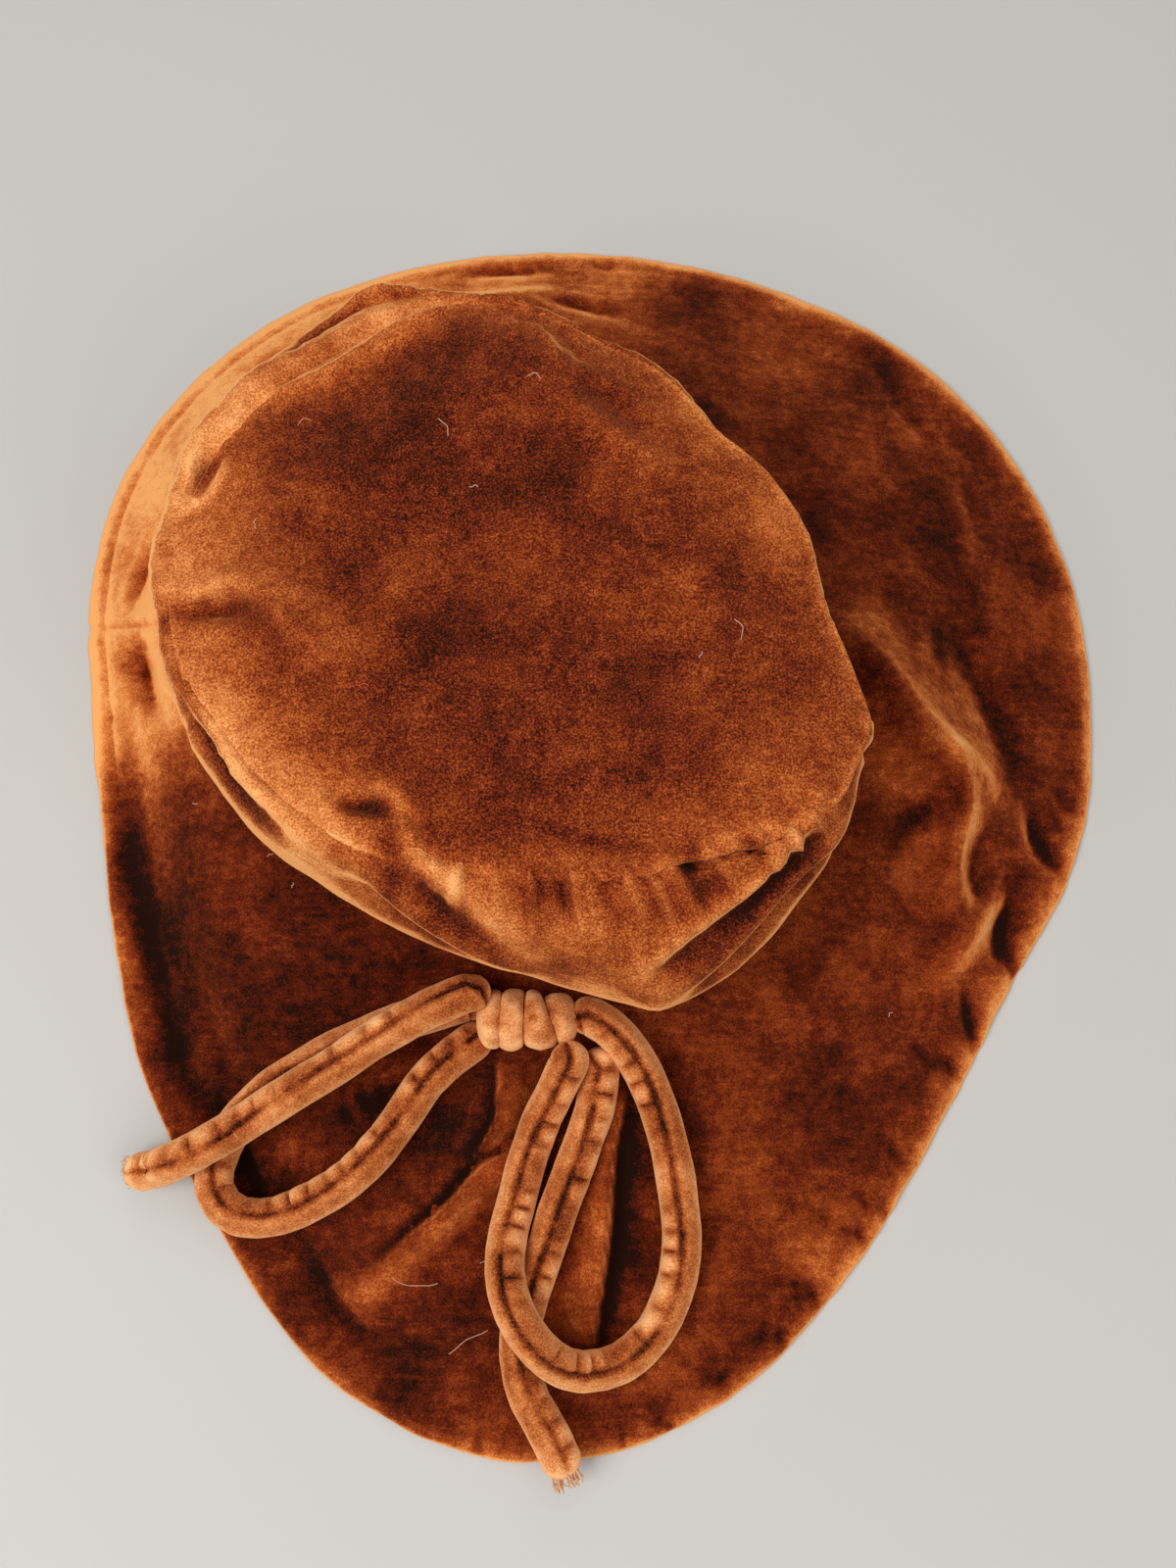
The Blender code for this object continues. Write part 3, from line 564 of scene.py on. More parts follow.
def fold_relief(folds, x, y, x_scale=1.0):
    """What the folds add at each place: a rounded ridge or valley along each line."""
    total = np.zeros_like(x)
    x = x * x_scale
    for fold in folds:
        line_x, line_y = line_of(fold)
        line_x = line_x * x_scale
        way_x, way_y = np.gradient(line_x), np.gradient(line_y)
        length = np.hypot(way_x, way_y)
        way_x, way_y = way_x / length, way_y / length
        wide = 3 * max(fold.left, fold.right)
        inside = (x > line_x.min() - wide) & (x < line_x.max() + wide)
        inside &= (y > line_y.min() - wide) & (y < line_y.max() + wide)
        off_x, off_y = x[inside, None] - line_x, y[inside, None] - line_y
        near = np.argmin(off_x**2 + off_y**2, axis=-1)
        off_x = np.take_along_axis(off_x, near[:, None], -1)[:, 0]
        off_y = np.take_along_axis(off_y, near[:, None], -1)[:, 0]
        across = way_x[near] * off_y - way_y[near] * off_x
        along = way_x[near] * off_x + way_y[near] * off_y
        width = np.where(across > 0, fold.left, fold.right)
        past_end = np.where((near == 0) | (near == len(line_x) - 1), along, 0)
        place = np.clip(near / (len(line_x) - 1) + along / length.sum(), 0.02, 0.98)
        fade = np.sin(np.pi * place) ** 0.6
        total[inside] += fold.height * fade * np.exp(-(across**2 + past_end**2) / width**2)
    return total


def unevenness(x, y, size, seed, stretch=1.0):
    """Gentle random height from about -1 to 1 that changes over the given size."""
    spots = zip(x / size, y / size / stretch)
    return np.array([noise.noise(Vector((a, b, seed))) for a, b in spots])


def brim_top(x, y):
    """Height of the brim's upper side: level collar, fall with its folds, level hem."""
    bearing, reach = polar(x, y)
    start = head_reach(bearing) + COLLAR_OUT
    stop = around(BRIM, "reach", bearing) - HEM
    root, ease = around(BRIM, "root", bearing), around(BRIM, "ease", bearing)
    u = np.clip((reach - start) / (stop - start), 0, 1)
    fall = BRIM_WALL + (root - BRIM_WALL) * (1 - u) ** ease
    free = ease_in(start, start + FOLD_RISE, reach) * (1 - ease_in(stop - FOLD_END, stop, reach))
    return np.maximum(fall + free * fold_relief(BRIM_FOLDS, x, y), BRIM_WALL)


def side_place(bearing, up):
    """Reach and height of the band's outer side, from the foot at up 0 to the seam at 1."""
    foot = head_reach(bearing)
    foot_z = around(BRIM, "root", bearing) + GAP
    belly, belly_z = around(CROWN, "belly_reach", bearing), around(CROWN, "belly_height", bearing)
    seam, seam_z = around(CROWN, "seam_reach", bearing), around(CROWN, "seam_height", bearing)
    rise = belly_z - foot_z
    inward = 1.4 * (belly - seam) + 6
    low, high = np.clip(up * 2, 0, 1), np.clip(up * 2 - 1, 0, 1)
    level = 0 * up
    lower_reach = hermite(foot, level, belly, level, low)
    upper_reach = hermite(belly, level, seam, -inward, high)
    lower_z = hermite(foot_z, rise, belly_z, rise, low)
    upper_z = hermite(belly_z, np.maximum(rise, 1.2 * (seam_z - belly_z)), seam_z, level, high)
    reach = np.where(up < 0.5, lower_reach, upper_reach)
    height = np.where(up < 0.5, lower_z, upper_z)
    free = ease_in(0, 0.12, up) * (1 - ease_in(0.86, 1, up))
    return reach + free * fold_relief(SIDE_FOLDS, bearing % 360, height, BAND_DEGREE), height


def tip_under(bearing, share):
    """Reach and height of the tip's underside, at a share of the way out to its seam."""
    seam, seam_z = around(CROWN, "seam_reach", bearing), around(CROWN, "seam_height", bearing)
    reach = seam * share
    x, y = plain(bearing, reach)
    mean = np.mean([row.seam_height for row in CROWN])
    free = 1 - ease_in(seam - SEAM_LAP - FOLD_END, seam - SEAM_LAP, reach)
    height = mean + (seam_z - mean) * share**2 + free * fold_relief(TIP_FOLDS, x, y)
    rise = TIP_RISE * ease_in(0, TIP_ROUNDING, seam - SEAM_LAP - reach)
    return reach, height + GAP + rise


def lying_height(x, y):
    """Height of a cord's middle where it lies on the brim or, past the edge, on the table."""
    radius = CORD / 2
    height = np.full(x.shape, radius)
    for off in (0, 0.4 * radius, 0.7 * radius, 0.95 * radius):
        for way in np.radians(np.arange(0, 360, 45)):
            at_x, at_y = x + off * np.cos(way), y + off * np.sin(way)
            bearing, reach = polar(at_x, at_y)
            on_brim = reach < around(BRIM, "reach", bearing)
            ground = np.where(on_brim, brim_top(at_x, at_y), 0)
            height = np.maximum(height, ground + math.sqrt(radius**2 - off**2))
    return height


def evenly(line, spacing):
    """The same line with its points an even distance apart."""
    steps = np.linalg.norm(np.diff(line, axis=0), axis=1)
    run = np.concatenate([[0], np.cumsum(steps)])
    want = np.linspace(0, run[-1], round(run[-1] / spacing) + 1)
    return np.stack([np.interp(want, run, line[:, axis]) for axis in range(3)], 1)


def knot_height():
    """The height of the knot's middle above the table."""
    rest = brim_top(np.array([KNOT_CENTRE[0]]), np.array([KNOT_CENTRE[1]]))[0]
    return rest + GAP + KNOT_SIZE[2] / 2


def into_knot(end):
    """One more point for a cord, inside the knot, where the cord's line goes on unseen."""
    half = KNOT_SIZE[0] / 2 - CORD / 2
    inside = np.clip(end[0], KNOT_CENTRE[0] - half, KNOT_CENTRE[0] + half)
    way = np.array([inside, KNOT_CENTRE[1], knot_height()]) - end
    return (end + INTO_KNOT * way / np.linalg.norm(way))[None]


def cord_route(stops, both_ends):
    """A cord's middle line from the knot along its stops, with its ends pushed into the knot."""
    line = smooth_through([(stop.x, stop.y, stop.lift) for stop in stops], 20)
    line[:, 2] += lying_height(line[:, 0], line[:, 1])
    line = np.concatenate([into_knot(line[0]), line])
    if both_ends:
        line = np.concatenate([line, into_knot(line[-1])])
    return evenly(line, CORD_STEP)


# The camera looks down at the hat from its deep side, as the photographer did.
CAMERA_PLACE = (0.0006, -0.1255, 0.485)
CAMERA_TILT = 15.0
LENS = 36.0  # on a sensor whose long side is 36 mm


def add_camera():
    """The camera that the photo was taken with, as worked out from the picture."""
    bpy.ops.object.camera_add(location=CAMERA_PLACE, rotation=(math.radians(CAMERA_TILT), 0, 0))
    camera = bpy.context.object
    camera.data.sensor_width = LENS
    camera.data.lens = LENS
    camera.data.clip_start = 0.01
    bpy.context.scene.camera = camera


def spots_of(piece):
    """The vertices of a piece as rows of x, y and z."""
    spots = np.empty(len(piece.data.vertices) * 3)
    piece.data.vertices.foreach_get("co", spots)
    return spots.reshape(-1, 3)


def place(piece, spots):
    """Puts the vertices, given in millimetres, where they belong."""
    piece.data.vertices.foreach_set("co", (spots * MM).ravel())
    piece.data.update()
    bpy.ops.object.shade_smooth()


def new_piece(name, shape, **sizes):
    """A piece to be shaped, from one of Blender's own shapes, and where its vertices are."""
    bpy.ops.object.select_all(action="DESELECT")
    shape(**sizes)
    piece = bpy.context.object
    piece.name = name
    return piece, spots_of(piece).T


def finish_piece(piece, look, nodes=()):
    """Gives the piece its material and ties it to the frame."""
    piece.data.materials.append(look)
    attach(piece, "root")
    if nodes:
        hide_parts(*nodes)


def paint(piece, name, value):
    """Keeps one number for each vertex, for the material to read."""
    layer = piece.data.attributes.new(name, "FLOAT", "POINT")
    layer.data.foreach_set("value", np.asarray(value, np.float32))


def cross_section(upper, lower, rim):
    """Stations round the section of a sheet, from the middle of its outer rim over the upper
    side to the inner rim and back below: share of the way out, rim, and side from 1 to -1."""
    quarter = np.radians(np.arange(rim) * 90 / rim)
    rows = [(1, np.cos(a), np.sin(a)) for a in quarter]
    rows += [(share, 0, 1) for share in np.linspace(1, 0, upper)]
    rows += [(0, -np.sin(a), np.cos(a)) for a in quarter[1:]]
    rows += [(0, -np.cos(a), -np.sin(a)) for a in quarter]
    rows += [(share, 0, -1) for share in np.linspace(0, 1, lower)]
    rows += [(1, np.sin(a), -np.cos(a)) for a in quarter[1:]]
    return np.array(rows)


def add_ring(name, spokes, section):
    """A torus with one vertex round its section for each station, and where each vertex is."""
    count = len(section)
    piece, (x, y, z) = new_piece(
        name,
        bpy.ops.mesh.primitive_torus_add,
        major_segments=spokes,
        minor_segments=count,
        major_radius=1,
        minor_radius=0.25,
    )
    bearing = np.degrees(np.arctan2(y, x)) % 360
    turn = np.arctan2(z, np.hypot(x, y) - 1) / (2 * np.pi) % 1
    share, rim, side = section[np.round(turn * count).astype(int) % count].T
    return piece, bearing, share, rim, side


def crowded(bearing):
    """Moves evenly spaced spokes closer together at the pleats, the tucks and the seam."""
    fine = np.linspace(0, 360, 1441)
    dense = 1 + 2.2 * within(254, 284, 5, fine) + 0.9 * within(286, 352, 8, fine)
    dense += 2.5 * within(SEAM_BEARING - 1, SEAM_BEARING + 1, 1.5, fine)
    run = np.concatenate([[0], np.cumsum((dense[1:] + dense[:-1]) / 2)])
    return np.interp(bearing, run * 360 / run[-1], fine)


def seam_off(bearing, reach):
    """How far a place on the brim is from the seam at its back, in mm."""
    return np.radians((bearing - SEAM_BEARING + 180) % 360 - 180) * reach


def brim_creases(x, y):
    """The brim's fine creases and seam, which flatten out at the hem, then its tucks."""
    bearing, reach = polar(x, y)
    off = seam_off(bearing, reach)
    lips = 0.9 * fading(1.3, np.abs(off) - 2.2)
    creases = fold_relief(BRIM_CREASES, x, y) + lips - 1.8 * fading(SEAM_WIDTH, off)
    inside = around(BRIM, "reach", bearing) - reach
    puffs = [t._replace(height=0.8, left=2.6 * t.left, right=1.4 * t.right) for t in HEM_TUCKS]
    tucks = fold_relief(HEM_TUCKS, x, y) + fold_relief(puffs, x, y)
    return creases * ease_in(0, 5, inside) + tucks * ease_in(-1, 1.5, inside)


def fine_brim(x, y, creases):
    """The brim's upper side with everything that is too fine for the solid."""
    bearing, reach = polar(x, y)
    inside = around(BRIM, "reach", bearing) - reach
    start = head_reach(bearing) + COLLAR_OUT
    off_collar = ease_in(start, start + FOLD_RISE, reach)
    soft = 0.8 * unevenness(x, y, 34, 1.5) + 0.4 * unevenness(x, y, 13, 4.5)
    puff = PUFF * ease_in(0, 5, inside) + 0.5 * fading(4, inside - 8)
    height = brim_top(x, y) + off_collar * (puff + creases + soft * ease_in(0, 5, inside))
    roll = 1 - np.clip(inside / ROLL, 0, 1)
    height -= ROLL_DROP * (1 - np.sqrt(1 - roll**2))
    return np.maximum(height, THINNEST)


def brim_tone_and_painted_light(x, y, creases):
    """How light the colour is: random mottling of the pile, painted light by bearing such as the
    bright back, painted sheen along the hem's edge, painted highlight on crests, and painted shade
    in creases, tucks and the seam.
    """
    bearing, reach = polar(x, y)
    inside = around(BRIM, "reach", bearing) - reach
    mottled = 0.5 + 0.5 * unevenness(x, y, 9, 12.5)
    # painted sheen along the hem's edge, and painted light on a mottled margin inside it
    edges = (EDGE_PAINTED_SHEEN + in_zones(EDGE_ZONES, bearing)) * fading(4.5, inside)
    edges += mottled * in_zones(MARGIN_ZONES, bearing) * fading(11, inside)
    soft = 0.10 * unevenness(x, y, 16, 31.5) + 0.05 * unevenness(x, y, 6, 37.5)
    # painted highlight on crests, and painted shade in creases, gaps, the seam and the tucks
    drawn = PAINTED_SHADE_PER_MM * creases + fold_relief(BRIM_PAINTED_LIGHT_LINES, x, y)
    drawn += PAINTED_SHADE_PER_MM * fold_relief(HEM_TUCKS, x, y) * fading(11, inside)
    # the zones add painted light and shade by bearing
    return BRIM_NAP + in_zones(BRIM_ZONES, bearing) + edges + drawn + soft


def make_brim(look):
    """The brim with its collar under the crown, from the inner edge out to the hem and back."""
    section = cross_section(112, 18, 5)
    piece, bearing, share, rim, side = add_ring("brim_cloth", BRIM_SPOKES, section)
    bearing = crowded(bearing)
    half = BRIM_WALL / 2
    inner, outer = head_reach(bearing) - COLLAR_IN + half, around(BRIM, "reach", bearing) - half
    round_x, round_y = 40 * np.cos(np.radians(bearing)), 40 * np.sin(np.radians(bearing))
    waver = 0.5 * unevenness(round_x, round_y, 3, 8.5)
    waver += 0.6 * unevenness(round_x, round_y, 1.4, 9.5)
    notch = 1.4 * fading(1.6, seam_off(bearing, outer))
    reach = inner + (outer - inner) * share + half * rim + (waver - notch) * share**3
    x, y = plain(bearing, reach)
    creases = brim_creases(x, y)
    z = fine_brim(x, y, creases) - half + half * side
    place(piece, np.stack([x, y, np.maximum(z, 0.05)], 1))
    paint(piece, "nap", brim_tone_and_painted_light(x, y, creases))
    finish_piece(piece, look, ["brim"])


def open_seam(bearing):
    """1 where the crown's seam lies open to view, at the front, and 0 where it is rolled over."""
    return within(298, 322, 6, bearing)


def sharp_edge(bearing):
    """1 at the far left, where the tip's edge stands up as a sharp fold."""
    return within(101, 135, 5, bearing)


def gathers(bearing, below):
    """The band's fullness drawn up into the seam, strongest at the front."""
    wave = np.sin(np.radians(bearing) * 61 + 2.2 * np.sin(np.radians(bearing) * 17))
    wave += 0.6 * np.sin(np.radians(bearing) * 97 + 1.1)
    return (0.2 + 0.8 * within(250, 326, 8, bearing)) * wave * fading(6, below)


def band_skin(bearing, share):
    """The band's outer side, from the edge turned in under the tip (0) to the foot (1)."""
    up = np.clip((1 - share) / (1 - TURNED), 0, 1)
    turned = np.clip((TURNED - share) / TURNED, 0, 1)
    reach, z = side_place(bearing, up)
    round_way = bearing * BAND_DEGREE
    free = ease_in(0, 0.1, up) * (1 - ease_in(0.93, 1, up))
    soft = 0.9 * unevenness(round_way, z, 26, 2.5) + 0.4 * unevenness(round_way, z, 9, 6.5)
    roll = 0.9 * open_seam(bearing) * fading(0.03, 0.95 - up)
    at_rim = ease_in(0.78, 1, up)
    swell = around(SWELLS, "shoulder", bearing) * ease_in(0.25, 0.6, up) * (1 - at_rim)
    swell += around(SWELLS, "rim", bearing) * at_rim
    x, y = plain(bearing, reach + free * soft + swell - SEAM_LAP * turned)
    return np.stack([x, y, z + roll - 0.6 * turned], -1)


def make_band(look):
    """The crown's side band, moved out along its own slope where creases and gathers lift it."""
    section = cross_section(104, 20, 3)
    piece, bearing, share, rim, side = add_ring("crown_band", BAND_SPOKES, section)
    skin = band_skin(bearing, share)
    step_round, step_up = 0.4, 0.004
    above = band_skin(bearing, np.clip(share - step_up, 0, 1))
    forward = band_skin(bearing, np.clip(share + step_up, 0, 1)) - above
    onward = band_skin(bearing + step_round, share) - band_skin(bearing - step_round, share)
    normal = np.cross(forward, onward)
    normal /= np.linalg.norm(normal, axis=1)[:, None]
    forward /= np.linalg.norm(forward, axis=1)[:, None]
    up = 1 - share
    seen = ease_in(0.42, 0.6, up)
    creases = seen * fold_relief(CROWN_CREASES_PLAIN, skin[:, 0], skin[:, 1])
    below = around(CROWN, "seam_height", bearing) - skin[:, 2]
    lift = creases + 1.3 * gathers(bearing, below) * ease_in(0, TURNED, share)
    half = CROWN_WALL / 2
    out = half * (side - 1) + lift
    place(piece, skin + out[:, None] * normal + (half * rim)[:, None] * forward)
    x, y = skin[:, 0], skin[:, 1]
    # Painted highlight where creases and gathers lift the cloth and painted shade where they sink,
    # painted light and shade along the crown's lines, random mottling, and painted light by bearing
    # on the band and its shoulders.
    nap = BAND_TONE_AND_SHEEN + PAINTED_SHADE_PER_MM * lift + seen * fold_relief(CROWN_PAINTED_LIGHT_LINES_PLAIN, x, y)
    nap += 0.14 * unevenness(x, y, 13, 51.5) + 0.12 * unevenness(x, y, 5, 54.5)
    nap += in_zones(BAND_ZONES, bearing)
    nap += in_zones(NEAR_SHOULDER_ZONES, bearing) * ease_in(0.5, 0.64, up)
    nap += in_zones(LEFT_SHOULDER_ZONES, bearing) * ease_in(0.5, 0.62, up)
    paint(piece, "nap", nap)
    finish_piece(piece, look, ["crown_side"])


def make_tip(look):
    """The crown's oval top. Its edge is rolled over the band's top, except at the open seam."""
    upper, lower, rim = 108, 20, 5
    quarter = np.radians(np.linspace(90, -90, 2 * rim + 1))[1:-1]
    rows = [(share, 0, 1) for share in np.linspace(0, 1, upper)]
    rows += [(1, np.cos(a), np.sin(a)) for a in quarter]
    rows += [(share, 0, -1) for share in np.linspace(1, 0, lower)]
    section = np.array(rows)
    ball, rings = bpy.ops.mesh.primitive_uv_sphere_add, len(section) - 1
    piece, (x, y, z) = new_piece("crown_tip_cloth", ball, segments=TIP_SPOKES, ring_count=rings)
    bearing = np.degrees(np.arctan2(y, x)) % 360
    station = np.round(np.arccos(np.clip(z, -1, 1)) / np.pi * rings).astype(int)
    share, rim_out, side = section[station].T
    half = CROWN_WALL / 2
    seam = around(CROWN, "seam_reach", bearing)
    reach, under = tip_under(bearing, (seam - half) * share / seam)
    hidden = 1 - open_seam(bearing) - 0.8 * sharp_edge(bearing)
    inside = seam - reach
    near_rim = 1 - ease_in(0, 9, inside)
    wavy = 0.8 * open_seam(bearing) * unevenness(bearing, bearing, 2.6, 71.5)
    out = half * rim_out + (1.6 * hidden + wavy) * near_rim
    out += around(SWELLS, "rim", bearing) * (1 - ease_in(0, 26, inside))
    x, y = plain(bearing, reach + out)
    creases = fold_relief(CROWN_CREASES_PLAIN, x, y)
    free = ease_in(1, 9, inside)
    z = under + half + half * side
    z += free * (0.7 * unevenness(x, y, 40, 3.5) + 0.3 * unevenness(x, y, 12, 7.5))
    z += creases * (0.35 + 0.65 * np.maximum(free, sharp_edge(bearing)))
    z += 0.7 * gathers(bearing, inside)
    z -= hidden * (CROWN_WALL + GAP) * (1 - ease_in(0, 8, inside))
    place(piece, np.stack([x, y, z], 1))
    # Painted highlight and shade from the tip's creases and lines, random mottling, painted sheen
    # paler toward the edge and along the rolled rim, and painted light on the tip's left and right.
    nap = TIP_NAP + 0.05 * creases + fold_relief(CROWN_PAINTED_LIGHT_LINES_PLAIN, x, y)
    nap += 0.07 * unevenness(x, y, 22, 61.5) + 0.05 * unevenness(x, y, 9, 67.5)
    nap += 0.16 * fading(14, inside)
    nap += (LIP_PAINTED_SHEEN + in_zones(LIP_ZONES, bearing)) * fading(1.6, inside)
    nap += in_zones(TIP_LEFT_ZONES, bearing) * ease_in(40, 80, reach)
    nap += in_zones(TIP_RIGHT_ZONES, bearing) * ease_in(20, 60, reach)
    paint(piece, "nap", nap)
    finish_piece(piece, look, ["crown_tip"])


def tube(name, line, radius, relief, rings, segments):
    """A closed tube along a line of points, from a sphere drawn out. relief gives a share of
    the radius to add, for a distance along and an angle, which is 90 degrees on top."""
    ball = bpy.ops.mesh.primitive_uv_sphere_add
    piece, (x, y, z) = new_piece(name, ball, segments=segments, ring_count=rings)
    angle = np.arctan2(y, x)
    station = np.round((1 - np.arccos(np.clip(z, -1, 1)) / np.pi) * rings)
    steps = np.linalg.norm(np.diff(line, axis=0), axis=1)
    run = np.concatenate([[0], np.cumsum(steps)])
    length = run[-1]
    # The rings crowd at the two ends to round them off.
    cap = max(rings // 12, 3)
    from_end = np.minimum(station, rings - station)
    bend = np.radians(90 * np.clip(from_end / cap, 0, 1))
    end_at = radius * (1 - np.cos(bend))
    body_at = radius + (length - 2 * radius) * (station - cap) / (rings - 2 * cap)
    at = np.where(from_end >= cap, body_at, np.where(station < cap, end_at, length - end_at))
    want = np.linspace(0, length, 801)
    fine = np.stack([np.interp(want, run, line[:, axis]) for axis in range(3)], 1)
    for _ in range(12):
        fine[1:-1] = (fine[:-2] + 2 * fine[1:-1] + fine[2:]) / 4
    along = np.gradient(fine, axis=0)
    along /= np.linalg.norm(along, axis=1)[:, None]
    up = np.array([0, 0, 1.0]) - along * along[:, 2:]
    up /= np.linalg.norm(up, axis=1)[:, None]
    aside = np.cross(up, along)
    middle, aside, up = (
        np.stack([np.interp(at, want, rows[:, axis]) for axis in range(3)], 1)
        for rows in (fine, aside, up)
    )
    added = relief(at, angle)
    wide = radius * (1 + added) * np.sin(bend)
    spots = middle + (wide * np.cos(angle))[:, None] * aside + (wide * np.sin(angle))[:, None] * up
    place(piece, spots)
    return piece, at, added


def along_noise(at, size, seed):
    """Gentle random change along a cord, from about -1 to 1."""
    return np.array([noise.noise(Vector((a / size, seed, 0.5))) for a in at])


def cord_relief(phase, turned, inner):
    """The cord's seam runs along its top in a wavering groove. One lip is drawn up into small lumps
    with puckers between them, because the cord was sewn and turned out. make_cord paints the lumps
    paler as painted highlight and the groove darker as painted shade."""

    def relief(at, angle):
        seam = np.radians(90 + turned) + 0.45 * along_noise(at, 38, phase)
        off = (angle - seam + np.pi) % (2 * np.pi) - np.pi
        depth = np.clip(0.17 + 0.34 * along_noise(at, 9, phase + 7), 0.02, 0.3)
        groove = depth * fading(0.15, off)
        spot = at / LUMP + 0.8 * along_noise(at, 24, phase + 3)
        lump = np.abs(np.sin(np.pi * spot)) ** 0.5 - 0.55
        side = inner * off
        lump = lump * np.clip(0.6 + 1.4 * along_noise(at, 15, phase + 11), 0, 1.5)
        lumps = 0.26 * lump * fading(0.5, side - 0.65)
        lip = 0.05 * fading(0.25, side + 0.45)
        soft = np.array(
            [noise.noise(Vector((s / 11, np.cos(a), phase + np.sin(a)))) for s, a in zip(at, angle)]
        )
        return lumps + lip - groove + 0.06 * soft - 0.04 * np.sin(angle) ** 2

    return relief


def make_cord(name, stops, node, far_end, phase, turned, inner, look):
    """One cord of the bow. Phase sets its uneven shape, turned how many degrees its seam lies
    off the top, and inner, 1 or -1, on which side of the seam its lumps are."""
    line = cord_route(stops, far_end == "object")
    rings = len(line) * 8
    piece, at, added = tube(name, line, CORD / 2, cord_relief(phase, turned, inner), rings, 48)
    ends = fading(9, at - at.max()) if far_end == "bare" else 0 * at
    # painted highlight on the lumps and painted shade in the groove, taken from the cord's relief
    lumps = LUMP_TONE * np.maximum(added, DARKEST_GROOVE)
    paint(piece, "nap", CORD_NAP + lumps + 0.3 * ends)
    finish_piece(piece, look, [node])


def bow_wraps(run, front):
    """The knot's outline along its length: turns of cord pressed against each other."""
    bounds = np.array([wrap.back for wrap in WRAPS])[:, None]
    bounds = bounds + np.array([wrap.lean for wrap in WRAPS])[:, None] * front
    bounds = np.concatenate([bounds, np.full((1, len(run)), KNOT_SIZE[0] / 2 + 0.5)])
    turn = np.clip((run >= bounds[1:-1]).sum(axis=0), 0, len(WRAPS) - 1)
    pick = np.arange(len(run))
    low, high = bounds[turn, pick], bounds[turn + 1, pick]
    u = np.clip(2 * (run - low) / (high - low) - 1, -1, 1)
    full = np.array([wrap.full for wrap in WRAPS])[turn]
    depth = np.array([wrap.depth for wrap in WRAPS])[turn]
    return full * (1 - depth + depth * np.sqrt(1 - 0.97 * u**2))


def make_knot(look):
    """The knot, a barrel along the crown's foot with the outlines of its wraps."""
    ball = bpy.ops.mesh.primitive_uv_sphere_add
    piece, (x, y, z) = new_piece("bow_knot", ball, segments=220, ring_count=190)
    turn = np.arctan2(y, x)
    along = 1 - 2 * np.arccos(np.clip(z, -1, 1)) / np.pi
    run = along * KNOT_SIZE[0] / 2
    wraps = bow_wraps(run, 0.5 - 0.5 * np.sin(turn))
    soft = np.array(
        [noise.noise(Vector((a / 3.5, 2 * np.cos(b), 2 * np.sin(b)))) for a, b in zip(run, turn)]
    )
    out = np.sqrt(1 - np.abs(along) ** 7) * (wraps + 0.05 * soft)
    across = KNOT_CENTRE[1] + out * np.sin(turn) * KNOT_SIZE[1] / 2
    height = knot_height() - out * np.cos(turn) * KNOT_SIZE[2] / 2
    place(piece, np.stack([KNOT_CENTRE[0] + run, across, height], 1))
    # The gaps between the wraps are painted darker as painted shade.
    paint(piece, "nap", KNOT_NAP + 1.4 * (wraps - 1) + 0.26 * soft)
    finish_piece(piece, look, ["tie_knot"])


def join_pieces(name, pieces):
    """Makes one piece of several."""
    bpy.ops.object.select_all(action="DESELECT")
    for piece in pieces:
        piece.select_set(True)
    bpy.context.view_layer.objects.active = pieces[0]
    bpy.ops.object.join()
    pieces[0].name = name
    return pieces[0]


def thread(name, line, width):
    """One fine thread, drawn thicker than the real 0.1 mm, which would be too fine to show."""
    return tube(name, line, width / 2, lambda at, angle: 0 * at, 18, 6)[0]


def top_of(x, y):
    """The height of the hat's upper side at one place, on the crown or on the brim."""
    bearing, reach = polar(np.array([x]), np.array([y]))
    seam = around(CROWN, "seam_reach", bearing)
    if reach[0] < seam[0] - 6:
        free = fold_relief(CROWN_CREASES_PLAIN, np.array([x]), np.array([y]))[0]
        return tip_under(bearing, reach / seam)[1][0] + CROWN_WALL + free
    return fine_brim(np.array([x]), np.array([y]), brim_creases(np.array([x]), np.array([y])))[0]


def add_lint(name, lint, look):
    """Short loose fibres that lie on the pile."""
    pieces = []
    for i, fibre in enumerate(lint):
        way = math.radians(fibre.heading)
        line = []
        for u in np.linspace(-0.5, 0.5, 7):
            aside = fibre.bend * (1 - 4 * u * u) + 0.25 * math.sin(9 * u + i)
            x = fibre.x + fibre.length * u * math.cos(way) - aside * math.sin(way)
            y = fibre.y + fibre.length * u * math.sin(way) + aside * math.cos(way)
            line.append((x, y, top_of(x, y) + LINT_ABOVE))
        pieces.append(thread(f"{name}_{i}", np.array(line), LINT_WIDTH))
    finish_piece(join_pieces(name, pieces), look)


def add_fray(name, stops, count, reach, seed, look):
    """Cut threads that stand out of a cord's free end."""
    dice = np.random.default_rng(seed)
    line = cord_route(stops, False)
    end, way = line[-1], line[-1] - line[-3]
    way = way / np.linalg.norm(way)
    aside = np.array([-way[1], way[0], 0])
    pieces = []
    for i in range(count):
        turn, share = dice.uniform(0, 2 * np.pi), dice.uniform(0.2, 0.9)
        radial = aside * np.cos(turn) + np.array([0, 0, 1]) * np.sin(turn)
        start = end - way * 2.2 + radial * share * CORD / 2 * 0.86
        far = start + way * (2.0 + reach * dice.uniform(0.3, 1)) + radial * dice.uniform(-1, 1.4)
        bend = aside * dice.uniform(-1.4, 1.4)
        points = [start, (start + far) / 2 + bend, far + bend * dice.uniform(-1, 1)]
        points = smooth_through(points, 4)
        points[:, 2] = np.maximum(points[:, 2], 0.4)
        pieces.append(thread(f"{name}_{i}", points, dice.uniform(0.3, 0.55)))
    finish_piece(join_pieces(name, pieces), look)


